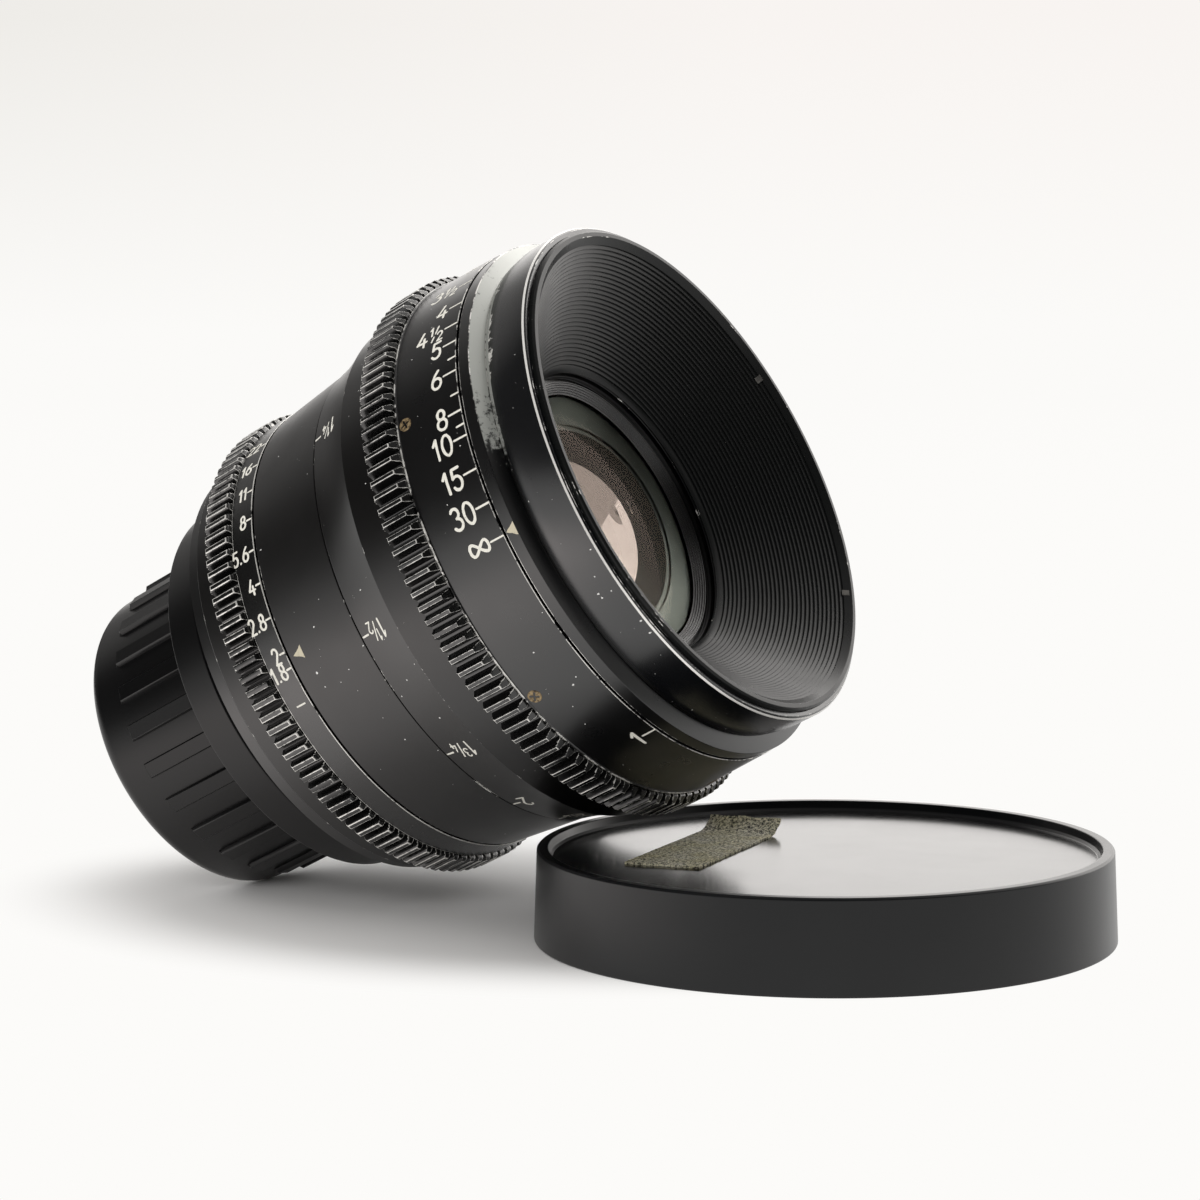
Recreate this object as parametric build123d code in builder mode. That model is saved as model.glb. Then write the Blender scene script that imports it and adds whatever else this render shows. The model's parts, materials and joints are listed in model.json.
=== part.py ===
"""Wide cinema prime lens that leans on its own front cap, with its rear cap on.

Lengths are in millimetres and angles in degrees. Places along the lens are
measured forward from the seat of the mount, on the optical axis, which lies in
the XZ plane and rises towards the front. Turns are measured about that axis,
from its upper side, and grow towards the side that carries the scales.
"""
import os
from math import atan2, cos, hypot, pi, radians, sin, sqrt

from build123d import *

os.makedirs("parts", exist_ok=True)

# How the lens stands and how its pieces fit
lean = 26.65
run_gap = 0.3
fit_gap = 0.05
ring_gap = 0.4
cut_over = 1.0

# Mount: a standard 54 mm bayonet with four lugs
mount_tube_r = 27.0
mount_tube_length = 12.0
mount_tube_wall = 2.5
mount_tube_edge = 0.2
mount_ring_step = 4.0
mount_ring_thickness = 3.0
mount_lug_reach = 3.0
mount_lug_count = 4
mount_lug_turn = 58.0
mount_notch_width = 3.2
mount_notch_depth = 2.0
mount_neck_step = 1.0
mount_neck_length = 4.0
mount_base_rim = 5.5
mount_base_thickness = 2.4
mount_screw_count = 6
mount_screw_step = 6.0
mount_screw_r = 1.25
mount_screw_head_r = 2.3
mount_screw_head_depth = 1.2
mount_screw_bite = 3.8
shim_thickness = 0.3
shim_step = 3.5

# Rear housing that carries the mount, the iris and the rear optics
housing_overhang = 1.1
housing_ring_width = 4.4
housing_edge = 0.3
housing_bore_step = 5.5
housing_floor_thickness = 5.3
sleeve_wall = 2.0
sleeve_end_length = 3.3

# Iris ring with its drive teeth and its stop scale
gear_module = 0.8
gear_dedendum_share = 1.25
iris_ring_wall = 4.3
iris_gear_width = 5.8
iris_band_step = 0.1
iris_band_width = 5.0
iris_turn = 61.0
gear_bevel = 0.45
tooth_root_share = 0.34
tooth_tip_share = 0.17

# Iris: nine blades between a fixed plate and a turning slotted ring
blade_count = 9
blade_swing = 24.8
blade_thickness = 0.2
blade_pitch = 0.35
blade_inner_r = 13.0
blade_outer_r = 24.5
blade_arc = 115.0
blade_pivot_step = 2.5
blade_arm_length = 9.0
blade_arm_width = 2.6
blade_pin_r = 0.5
blade_pin_gap = 0.1
iris_slot_width = 1.3
iris_plate_thickness = 1.2
iris_plate_room = 2.7
iris_plate_bore_step = 0.6
iris_cam_thickness = 3.2
iris_cam_bore_step = 1.0
iris_lock_thickness = 1.5
iris_lock_wall = 4.0
iris_screw_r = 0.9
iris_screw_turn = 200.0
iris_screw_bite = 3.0
iris_slot_spare_turn = 4.0

# Main barrel with its guide tube
barrel_step = 0.2
barrel_taper = 1.6
barrel_wall = 4.3
barrel_length = 15.8
barrel_web_thickness = 3.0
barrel_land_length = 8.0
barrel_land_wall = 2.0
guide_tube_r = 34.8
guide_tube_wall = 2.8

# Focus ring: flared skirt, drive teeth and an exchangeable distance scale
skirt_wall = 2.3
skirt_flare = 2.9
skirt_length = 8.9
skirt_sag = 0.35
skirt_neck_length = 6.5
skirt_neck_wall = 2.2
focus_gear_step = 2.0
focus_gear_width = 6.9
focus_lip_drop = 1.4
focus_scale_wall = 3.2
focus_scale_taper = 0.5
focus_scale_width = 12.9
focus_travel = 6.0
focus_screw_count = 6
focus_screw_turn = 63.8
focus_screw_inset = 1.5
focus_screw_r = 0.8
focus_screw_head_r = 1.25
focus_screw_head_depth = 0.6
focus_screw_sink = 0.1
focus_screw_bite = 1.4

# Helicoid, carrier and keys that turn the focus ring's turn into a slide
helicoid_wall = 2.0
helicoid_room = 2.1
helicoid_length = 26.6
helicoid_flange_thickness = 4.0
carrier_wall = 2.2
carrier_length = 10.0
key_count = 3
key_turn = 30.0
key_width = 4.0
key_length = 5.0
key_bite = 1.7
key_inset = 0.5
focus_cell_length = 20.0
focus_cell_clearance = 1.9

# Index ring, name ring and ribbed hood
index_step = 0.2
index_width = 2.2
bevel_width = 1.4
bevel_drop = 2.6
front_ring_flare = 0.6
front_ring_rim = 1.3
front_ring_length = 9.0
front_ring_band = 5.0
front_ring_edge = 0.5
front_spigot_length = 4.0
front_spigot_wall = 1.25
index_web_thickness = 2.2
index_web_inset = 4.3
index_lip_length = 7.9
index_lip_wall = 2.0
hood_lip_wall = 1.15
hood_lip_height = 1.0
hood_throat_step = 0.1
hood_depth = 17.6
hood_wall = 2.8
hood_collar_length = 6.0
hood_throat_land = 0.5
hood_mouth_edge = 0.35

# Front optics, in a cell behind the hood
glass_seat = 1.2
nut_length = 2.0
front_cell_length = 11.3
front_cell_clearance = 0.6
front_nut_step = 1.9
front_nut_lip = 0.8
front_cell_wall = 5.0
front_nut_length = 1.7
front_nut_inset = 0.5
front_nut_slope = 0.8
front_notch_width = 2.0
front_notch_depth = 0.9
front_notch_turns = (-38.6, -117.1)
front_glass_edge = 3.5
front_glass_front_bulge = 4.4
front_glass_rear_bulge = 2.0
second_glass_r = 19.5
second_glass_edge = 2.5
second_glass_front_bulge = 0.8
second_glass_rear_bulge = -2.4

# Focusing optics
third_glass_r = 20.0
third_glass_edge = 6.0
third_glass_front_bulge = 2.2
third_glass_rear_bulge = -1.8
fourth_glass_r = 17.0
fourth_glass_edge = 4.0
fourth_glass_front_bulge = -1.2
fourth_glass_rear_bulge = 1.1

# Rear optics, in a cell through the mount
rear_cell_step = 1.7
rear_cell_reach = 22.0
fifth_glass_r = 15.5
fifth_glass_edge = 2.5
fifth_glass_front_bulge = 1.0
joint_bulge = 2.2
sixth_glass_edge = 3.5
sixth_glass_rear_bulge = -1.4
seventh_glass_r = 15.5
seventh_glass_edge = 4.5
seventh_glass_front_bulge = 1.4
seventh_glass_rear_bulge = -1.0
rear_shoulder_length = 5.5
rear_glass_r = 16.7
rear_glass_edge = 5.0
rear_glass_front_bulge = 1.6
rear_glass_rear_bulge = -0.9

# Rear cap
cap_wall = 2.7
cap_room = 6.7
cap_floor = 2.3
cap_corner = 3.0
cap_flange_wall = 3.3
cap_flange_draft = 0.6
cap_flange_behind = 3.0
cap_flange_ahead = 4.1
cap_flange_edge = 0.4
cap_bar_count = 25
cap_bar_width = 2.9
cap_bar_height = 1.0
cap_bar_start = 8.0
cap_bar_slope = 0.8

# Front cap
front_cap_wall = 2.4
front_cap_draft = 0.6
front_cap_height = 15.8
front_cap_recess = 1.8
front_cap_rim = 2.0
front_cap_plate = 2.2
front_cap_step = 0.5
front_cap_edge = 0.35
tape_length = 39.8
tape_width = 14.2
tape_thickness = 0.4
tape_shift_x = -21.2
tape_shift_y = -3.5
tape_turn = 94.6

# Radii from the guide tube outwards, each from the one that it fits
guide_tube_bore_r = guide_tube_r - guide_tube_wall
focus_cell_r = guide_tube_bore_r - run_gap
carrier_bore_r = guide_tube_r + run_gap
carrier_r = carrier_bore_r + carrier_wall
helicoid_bore_r = carrier_r + run_gap
helicoid_r = helicoid_bore_r + helicoid_wall
barrel_land_r = helicoid_r + helicoid_room + barrel_land_wall
skirt_bore_r = barrel_land_r + run_gap
skirt_rear_r = skirt_bore_r + skirt_wall
skirt_front_r = skirt_rear_r + skirt_flare
barrel_front_r = skirt_rear_r - barrel_step
barrel_rear_r = barrel_front_r - barrel_taper
sleeve_r = barrel_rear_r - barrel_wall
iris_bore_r = sleeve_r + run_gap
iris_band_r = barrel_rear_r + iris_band_step
iris_teeth = round(2 * (iris_bore_r + iris_ring_wall) / gear_module)
iris_pitch_r = gear_module * iris_teeth / 2
iris_tip_r = iris_pitch_r + gear_module
focus_teeth = round(2 * (skirt_front_r + focus_gear_step) / gear_module)
focus_pitch_r = gear_module * focus_teeth / 2
focus_tip_r = focus_pitch_r + gear_module
focus_root_r = focus_pitch_r - gear_module * gear_dedendum_share
focus_lip_r = focus_tip_r - focus_lip_drop
focus_scale_bore_r = skirt_front_r - skirt_neck_wall
focus_scale_rear_r = focus_scale_bore_r + focus_scale_wall
focus_scale_front_r = focus_scale_rear_r - focus_scale_taper
lip_r = focus_scale_bore_r - run_gap
lip_bore_r = lip_r - index_lip_wall
index_r = focus_scale_front_r - index_step
front_ring_rear_r = index_r - bevel_drop
front_ring_r = front_ring_rear_r + front_ring_flare
hood_lip_r = front_ring_r - front_ring_rim
hood_mouth_r = hood_lip_r - hood_lip_wall
front_cell_r = guide_tube_bore_r - fit_gap
front_nut_r = front_cell_r - front_cell_wall - fit_gap
front_glass_r = front_nut_r - front_nut_step
front_nut_bore_r = front_glass_r - front_nut_lip
hood_throat_r = front_nut_r + hood_throat_step

# Radii of the mount, the iris and the caps
mount_bore_r = mount_tube_r - mount_tube_wall
mount_ring_r = mount_tube_r + mount_ring_step
mount_neck_r = mount_ring_r - mount_neck_step
housing_bore_r = mount_bore_r + housing_bore_step
mount_screw_pitch_r = housing_bore_r + mount_screw_step
mount_base_r = mount_screw_pitch_r + mount_base_rim
shim_bore_r = housing_bore_r + shim_step
mount_screw_length = mount_base_thickness + shim_thickness + mount_screw_bite
housing_ring_r = mount_base_r + housing_overhang
rear_cell_r = mount_bore_r - run_gap
rear_cell_tail_r = rear_cell_r - rear_cell_step
blade_pivot_r = blade_outer_r + blade_pivot_step
iris_cam_r = sleeve_r - sleeve_wall - run_gap
iris_plate_r = sleeve_r - sleeve_wall - iris_plate_room
iris_plate_bore_r = blade_inner_r + iris_plate_bore_step
iris_cam_bore_r = blade_inner_r + iris_cam_bore_step
cap_bore_r = mount_tube_r + run_gap
cap_body_r = cap_bore_r + cap_wall
cap_depth = rear_cell_reach + cap_room
lug_bore_r = mount_ring_r + mount_lug_reach + run_gap
cap_flange_front_r = lug_bore_r + cap_flange_wall
cap_flange_rear_r = cap_flange_front_r - cap_flange_draft
front_cap_bore_r = front_ring_r + run_gap
front_cap_base_r = front_cap_bore_r + front_cap_wall
front_cap_top_r = front_cap_base_r - front_cap_draft

# Places along the lens
mount_base_x = mount_ring_thickness + mount_neck_length
shim_x = mount_base_x + mount_base_thickness
housing_x = shim_x + shim_thickness
housing_front_x = housing_x + housing_ring_width
iris_plate_x = housing_x + housing_floor_thickness
iris_ring_x = housing_front_x + ring_gap
iris_ring_front_x = iris_ring_x + iris_gear_width + iris_band_width
barrel_x = iris_ring_front_x + ring_gap
barrel_front_x = barrel_x + barrel_length
sleeve_front_x = barrel_x + sleeve_end_length
focus_x = barrel_front_x + run_gap
skirt_front_x = focus_x + skirt_length
focus_gear_x = skirt_front_x + skirt_neck_length
focus_scale_x = focus_gear_x + focus_gear_width
focus_front_x = focus_scale_x + focus_scale_width
index_x = focus_front_x + ring_gap
bevel_x = index_x + index_width
front_ring_x = bevel_x + bevel_width
front_x = front_ring_x + front_ring_length
hood_front_x = front_x + hood_lip_height
web_front_x = sleeve_front_x + barrel_web_thickness
guide_tube_front_x = index_x - index_web_inset

blade_x = iris_plate_x + iris_plate_thickness + run_gap
iris_cam_x = blade_x + (blade_count - 1) * blade_pitch + blade_thickness + run_gap
iris_cam_front_x = iris_cam_x + iris_cam_thickness
iris_lock_x = iris_cam_front_x + run_gap
iris_screw_x = iris_cam_x + iris_cam_thickness / 2

lean_cos = cos(radians(lean))
lean_sin = sin(radians(lean))

# The rear cap's rounded corner stands on the ground
cap_end_x = -cap_depth - cap_floor - run_gap
corner_x = cap_end_x + cap_corner
corner_r = cap_body_r - cap_corner
seat_z = cap_corner + corner_r * lean_cos - corner_x * lean_sin

# The main barrel's lower side rests on the front cap's left rim
barrel_slope = (barrel_front_r - barrel_rear_r) / barrel_length
rest_height = front_cap_height + run_gap
rest_x = (rest_height - seat_z + lean_cos * (barrel_rear_r - barrel_slope * barrel_x)) / (
    lean_sin - lean_cos * barrel_slope
)
rest_r = barrel_rear_r + barrel_slope * (rest_x - barrel_x)
cap_ahead = rest_x * lean_cos + rest_r * lean_sin + front_cap_top_r

# The origin lies on the ground in the middle of the whole part
rear_reach = corner_x * lean_cos - corner_r * lean_sin - cap_corner
seat_x = -(rear_reach + cap_ahead + front_cap_base_r) / 2
front_cap_x = seat_x + cap_ahead

forward = Vector(lean_cos, 0, lean_sin)
upward = Vector(-lean_sin, 0, lean_cos)
sideways = forward.cross(upward)
seat = Vector(seat_x, 0, seat_z)
optical_axis = Axis(seat, forward)
meridian = Plane(origin=seat, x_dir=forward, z_dir=(0, -1, 0))


def radial(turn):
    """Direction away from the optical axis at a turn about it."""
    return upward * cos(radians(turn)) + sideways * sin(radians(turn))


def station(x, turn=0.0):
    """Plane square to the optical axis, its own X pointing out at the turn."""
    return Plane(origin=seat + forward * x, x_dir=radial(turn), z_dir=forward)


def side_plane(x, r, turn):
    """Plane that touches a cylinder about the optical axis, its Z pointing out."""
    return Plane(
        origin=seat + forward * x + radial(turn) * r, x_dir=forward, z_dir=radial(turn)
    )


def gear_points(teeth, root_share, tip_share):
    """Outline of a ring of straight-sided teeth, four corners a tooth."""
    pitch_r = gear_module * teeth / 2
    tip_r = pitch_r + gear_module
    root_r = pitch_r - gear_module * gear_dedendum_share
    points = []
    for tooth in range(teeth):
        for r, share in (
            (root_r, -root_share),
            (tip_r, -tip_share),
            (tip_r, tip_share),
            (root_r, root_share),
        ):
            angle = 2 * pi * (tooth + share) / teeth
            points.append((r * cos(angle), r * sin(angle)))
    return points


# Mount: ring, lugs, neck and base in one turned and milled piece
with BuildPart() as pl_mount:
    with BuildSketch(meridian):
        with BuildLine():
            Polyline(
                (-mount_tube_length, mount_bore_r),
                (-mount_tube_length, mount_tube_r - mount_tube_edge),
                (-mount_tube_length + mount_tube_edge, mount_tube_r),
                (0, mount_tube_r),
                (0, mount_ring_r),
                (mount_ring_thickness, mount_ring_r),
                (mount_ring_thickness, mount_neck_r),
                (mount_base_x, mount_neck_r),
                (mount_base_x, mount_base_r),
                (shim_x, mount_base_r),
                (shim_x, mount_bore_r),
                close=True,
            )
        make_face()
    revolve(axis=optical_axis)
    with BuildSketch(station(0)):
        with PolarLocations(0, mount_lug_count):
            with BuildLine():
                inner = CenterArc(
                    (0, 0), mount_ring_r - fit_gap, -mount_lug_turn / 2, mount_lug_turn
                )
                outer = CenterArc(
                    (0, 0), mount_ring_r + mount_lug_reach, -mount_lug_turn / 2, mount_lug_turn
                )
                Line(inner @ 0, outer @ 0)
                Line(inner @ 1, outer @ 1)
            make_face()
    extrude(amount=mount_ring_thickness)
    with BuildSketch(station(0)):
        with PolarLocations(mount_ring_r + mount_lug_reach, 1):
            Rectangle(2 * mount_notch_depth, mount_notch_width)
    extrude(amount=mount_ring_thickness, mode=Mode.SUBTRACT)
    with BuildSketch(station(mount_base_x)):
        with PolarLocations(mount_screw_pitch_r, mount_screw_count):
            Circle(mount_screw_r + fit_gap)
    extrude(amount=mount_base_thickness, mode=Mode.SUBTRACT)
    with BuildSketch(station(mount_base_x)):
        with PolarLocations(mount_screw_pitch_r, mount_screw_count):
            Circle(mount_screw_head_r + fit_gap)
    extrude(amount=mount_screw_head_depth, mode=Mode.SUBTRACT)
pl_mount.part.label = "pl_mount"
export_step(pl_mount.part, "parts/pl_mount.step")

with BuildPart() as mount_screws:
    with BuildSketch(station(mount_base_x)):
        with PolarLocations(mount_screw_pitch_r, mount_screw_count):
            Circle(mount_screw_head_r)
    extrude(amount=mount_screw_head_depth)
    with BuildSketch(station(mount_base_x)):
        with PolarLocations(mount_screw_pitch_r, mount_screw_count):
            Circle(mount_screw_r)
    extrude(amount=mount_screw_length)
mount_screws.part.label = "mount_screws"
export_step(mount_screws.part, "parts/mount_screws.step")

# Brass shim that sets the flange distance, its edge just visible in the gap
with BuildPart() as mount_shim:
    with BuildSketch(station(shim_x)):
        Circle(mount_base_r)
        Circle(shim_bore_r, mode=Mode.SUBTRACT)
        with PolarLocations(mount_screw_pitch_r, mount_screw_count):
            Circle(mount_screw_r + fit_gap, mode=Mode.SUBTRACT)
    extrude(amount=shim_thickness)
mount_shim.part.label = "mount_shim"
export_step(mount_shim.part, "parts/mount_shim.step")

# Rear housing: plain ring, floor and the sleeve that the iris ring turns on
with BuildPart() as rear_housing:
    with BuildSketch(meridian):
        with BuildLine():
            Polyline(
                (housing_x, housing_bore_r),
                (housing_x, housing_ring_r - housing_edge),
                (housing_x + housing_edge, housing_ring_r),
                (housing_front_x, housing_ring_r),
                (housing_front_x, sleeve_r),
                (sleeve_front_x, sleeve_r),
                (sleeve_front_x, sleeve_r - sleeve_wall),
                (iris_plate_x, sleeve_r - sleeve_wall),
                (iris_plate_x, housing_bore_r),
                close=True,
            )
        make_face()
    revolve(axis=optical_axis)
    with BuildSketch(station(housing_x)):
        with PolarLocations(mount_screw_pitch_r, mount_screw_count):
            Circle(mount_screw_r + fit_gap)
    extrude(amount=mount_screw_length, mode=Mode.SUBTRACT)
    with BuildSketch(station(iris_screw_x - iris_screw_r - run_gap, iris_screw_turn)):
        with BuildLine():
            slot_turn = iris_turn + 2 * iris_slot_spare_turn
            inner = CenterArc(
                (0, 0), sleeve_r - sleeve_wall - cut_over, -iris_slot_spare_turn, slot_turn
            )
            outer = CenterArc((0, 0), sleeve_r + cut_over, -iris_slot_spare_turn, slot_turn)
            Line(inner @ 0, outer @ 0)
            Line(inner @ 1, outer @ 1)
        make_face()
    extrude(amount=2 * (iris_screw_r + run_gap), mode=Mode.SUBTRACT)
rear_housing.part.label = "rear_housing"
export_step(rear_housing.part, "parts/rear_housing.step")

# Iris ring: teeth behind, stop scale in front
with BuildPart() as iris_ring:
    iris_gear_front_x = iris_ring_x + iris_gear_width
    with BuildSketch(station(iris_ring_x)):
        with BuildLine():
            Polyline(*gear_points(iris_teeth, tooth_root_share, tooth_tip_share), close=True)
        make_face()
        Circle(iris_bore_r, mode=Mode.SUBTRACT)
    extrude(amount=iris_gear_width)
    with BuildSketch(meridian):
        with BuildLine():
            Polyline(
                (iris_ring_x - cut_over, iris_tip_r + cut_over),
                (iris_ring_x - cut_over, iris_tip_r - gear_bevel - cut_over),
                (iris_ring_x + gear_bevel + cut_over, iris_tip_r + cut_over),
                close=True,
            )
        make_face()
        with BuildLine():
            Polyline(
                (iris_gear_front_x + cut_over, iris_tip_r + cut_over),
                (iris_gear_front_x + cut_over, iris_tip_r - gear_bevel - cut_over),
                (iris_gear_front_x - gear_bevel - cut_over, iris_tip_r + cut_over),
                close=True,
            )
        make_face()
    revolve(axis=optical_axis, mode=Mode.SUBTRACT)
    with BuildSketch(station(iris_gear_front_x)):
        Circle(iris_band_r)
        Circle(iris_bore_r, mode=Mode.SUBTRACT)
    extrude(amount=iris_band_width)
    with BuildSketch(side_plane(iris_screw_x, iris_bore_r - cut_over, iris_screw_turn)):
        Circle(iris_screw_r + fit_gap)
    extrude(amount=cut_over + iris_screw_bite + fit_gap, mode=Mode.SUBTRACT)
iris_ring.part.label = "iris_ring"
export_step(iris_ring.part, "parts/iris_ring.step")

# Fixed plate with a pivot hole for each blade
with BuildPart() as iris_base_plate:
    with BuildSketch(station(iris_plate_x)):
        Circle(iris_plate_r)
        Circle(iris_plate_bore_r, mode=Mode.SUBTRACT)
        with PolarLocations(blade_pivot_r, blade_count):
            Circle(blade_pin_r + blade_pin_gap, mode=Mode.SUBTRACT)
    extrude(amount=iris_plate_thickness)
iris_base_plate.part.label = "iris_base_plate"
export_step(iris_base_plate.part, "parts/iris_base_plate.step")


def drive_pin_place(share):
    """Drive pin of the first blade, seen from the turning ring, at a share of the iris turn."""
    swing = radians(90 + blade_swing / 2 - blade_swing * share)
    x = blade_pivot_r + blade_arm_length * cos(swing)
    y = blade_arm_length * sin(swing)
    angle = atan2(y, x) - radians(iris_turn * share)
    return (hypot(x, y) * cos(angle), hypot(x, y) * sin(angle))


# Turning ring: one spiral slot a blade, shaped so that the blades swing evenly
with BuildPart() as iris_cam_ring:
    slot_line = Edge.make_three_point_arc(
        Vector(*drive_pin_place(0)), Vector(*drive_pin_place(0.5)), Vector(*drive_pin_place(1))
    )
    with BuildSketch(station(iris_cam_x)):
        Circle(iris_cam_r)
        Circle(iris_cam_bore_r, mode=Mode.SUBTRACT)
        with PolarLocations(0, blade_count):
            SlotArc(slot_line, iris_slot_width, mode=Mode.SUBTRACT)
    extrude(amount=iris_cam_thickness)
    with BuildSketch(side_plane(iris_screw_x, iris_cam_r + cut_over, iris_screw_turn)):
        Circle(iris_screw_r + fit_gap)
    extrude(amount=-(cut_over + iris_screw_bite + fit_gap), mode=Mode.SUBTRACT)
iris_cam_ring.part.label = "iris_cam_ring"
export_step(iris_cam_ring.part, "parts/iris_cam_ring.step")

with BuildPart() as iris_drive_screw:
    screw_foot_r = iris_cam_r - iris_screw_bite
    with BuildSketch(side_plane(iris_screw_x, screw_foot_r, iris_screw_turn)):
        Circle(iris_screw_r)
    extrude(amount=iris_bore_r + iris_screw_bite - screw_foot_r)
iris_drive_screw.part.label = "iris_drive_screw"
export_step(iris_drive_screw.part, "parts/iris_drive_screw.step")

with BuildPart() as iris_lock_ring:
    with BuildSketch(station(iris_lock_x)):
        Circle(sleeve_r - sleeve_wall - fit_gap)
        Circle(sleeve_r - sleeve_wall - iris_lock_wall, mode=Mode.SUBTRACT)
    extrude(amount=iris_lock_thickness)
iris_lock_ring.part.label = "iris_lock_ring"
export_step(iris_lock_ring.part, "parts/iris_lock_ring.step")


def make_blade(number):
    """One iris blade with its pivot pin behind and its drive pin in front."""
    turn = 360 / blade_count * number
    level = blade_x + blade_pitch * number
    arm_turn = 90 + blade_swing / 2
    drive_x = blade_pivot_r + blade_arm_length * cos(radians(arm_turn))
    drive_y = blade_arm_length * sin(radians(arm_turn))
    shoulder_r = blade_outer_r - blade_arm_width / 2
    with BuildPart() as blade:
        with BuildSketch(station(level, turn)):
            with BuildLine():
                inner = CenterArc((0, 0), blade_inner_r, 0, -blade_arc)
                outer = CenterArc((0, 0), blade_outer_r, 0, -blade_arc)
                Line(inner @ 0, outer @ 0)
                Line(inner @ 1, outer @ 1)
            make_face()
            with BuildLine():
                Polyline(
                    (blade_inner_r + blade_arm_width, -fit_gap),
                    (shoulder_r, -blade_arm_width),
                    (blade_pivot_r + blade_arm_width / 2, 0),
                    (drive_x + blade_arm_width / 2, drive_y),
                    (drive_x - blade_arm_width / 2, drive_y),
                    (blade_pivot_r - blade_arm_width, blade_arm_width / 2),
                    close=True,
                )
            make_face()
            with Locations((blade_pivot_r, 0), (drive_x, drive_y)):
                Circle(blade_arm_width / 2)
        extrude(amount=blade_thickness)
        with BuildSketch(station(level, turn)):
            with Locations((blade_pivot_r, 0)):
                Circle(blade_pin_r)
        extrude(amount=-(level - iris_plate_x - fit_gap))
        with BuildSketch(station(level, turn)):
            with Locations((drive_x, drive_y)):
                Circle(blade_pin_r)
        extrude(amount=iris_cam_front_x - fit_gap - level)
    blade.part.label = f"iris_blade_{number + 1}"
    export_step(blade.part, f"parts/iris_blade_{number + 1}.step")


for blade_number in range(blade_count):
    make_blade(blade_number)

# Main barrel: outer shell, web and the guide tube with its straight slots
focus_cell_x = web_front_x + focus_cell_clearance
focus_cell_front_x = focus_cell_x + focus_cell_length
key_x = focus_cell_front_x - key_length - key_inset
with BuildPart() as main_barrel:
    with BuildSketch(meridian):
        with BuildLine():
            Polyline(
                (barrel_x, sleeve_r + fit_gap),
                (barrel_x, barrel_rear_r),
                (barrel_front_x, barrel_front_r),
                (barrel_front_x, barrel_land_r),
                (barrel_front_x + barrel_land_length, barrel_land_r),
                (barrel_front_x + barrel_land_length, barrel_land_r - barrel_land_wall),
                (web_front_x, barrel_land_r - barrel_land_wall),
                (web_front_x, guide_tube_r),
                (guide_tube_front_x, guide_tube_r),
                (guide_tube_front_x, guide_tube_bore_r),
                (sleeve_front_x, guide_tube_bore_r),
                (sleeve_front_x, sleeve_r + fit_gap),
                close=True,
            )
        make_face()
    revolve(axis=optical_axis)
    for key_number in range(key_count):
        slot_turn = key_turn + 360 / key_count * key_number
        slot_length = key_length + focus_travel + 2 * run_gap
        slot_x = key_x - run_gap + slot_length / 2
        with BuildSketch(side_plane(slot_x, guide_tube_bore_r - cut_over, slot_turn)):
            Rectangle(slot_length, key_width + 2 * run_gap)
        extrude(amount=guide_tube_wall + 2 * cut_over, mode=Mode.SUBTRACT)
main_barrel.part.label = "main_barrel"
export_step(main_barrel.part, "parts/main_barrel.step")

# Focus ring: flared skirt, neck and drive teeth
with BuildPart() as focus_gear_ring:
    with BuildSketch(meridian):
        with BuildLine():
            skirt = SagittaArc((focus_x, skirt_rear_r), (skirt_front_x, skirt_front_r), -skirt_sag)
            Polyline(
                skirt @ 1,
                (focus_gear_x, skirt_front_r),
                (focus_gear_x, focus_root_r - fit_gap),
                (focus_scale_x, focus_root_r - fit_gap),
                (focus_scale_x, focus_scale_bore_r),
                (skirt_front_x + skirt_neck_length / 2, focus_scale_bore_r),
                (skirt_front_x, skirt_bore_r),
                (focus_x, skirt_bore_r),
                skirt @ 0,
            )
        make_face()
    revolve(axis=optical_axis)
    with BuildSketch(station(focus_gear_x)):
        with BuildLine():
            Polyline(*gear_points(focus_teeth, tooth_root_share, tooth_tip_share), close=True)
        make_face()
        Circle(skirt_front_r - gear_bevel, mode=Mode.SUBTRACT)
    extrude(amount=focus_gear_width)
    with BuildSketch(meridian):
        with BuildLine():
            Polyline(
                (focus_gear_x - cut_over, focus_tip_r + cut_over),
                (focus_gear_x - cut_over, focus_tip_r - gear_bevel - cut_over),
                (focus_gear_x + gear_bevel + cut_over, focus_tip_r + cut_over),
                close=True,
            )
        make_face()
        with BuildLine():
            Polyline(
                (focus_scale_x + cut_over, focus_tip_r + cut_over),
                (focus_scale_x + cut_over, focus_lip_r - cut_over),
                (focus_scale_x, focus_lip_r),
                (focus_scale_x - (focus_tip_r - focus_lip_r), focus_tip_r),
                (focus_scale_x - (focus_tip_r - focus_lip_r), focus_tip_r + cut_over),
                close=True,
            )
        make_face()
    revolve(axis=optical_axis, mode=Mode.SUBTRACT)
focus_gear_ring.part.label = "focus_gear_ring"
export_step(focus_gear_ring.part, "parts/focus_gear_ring.step")

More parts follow.
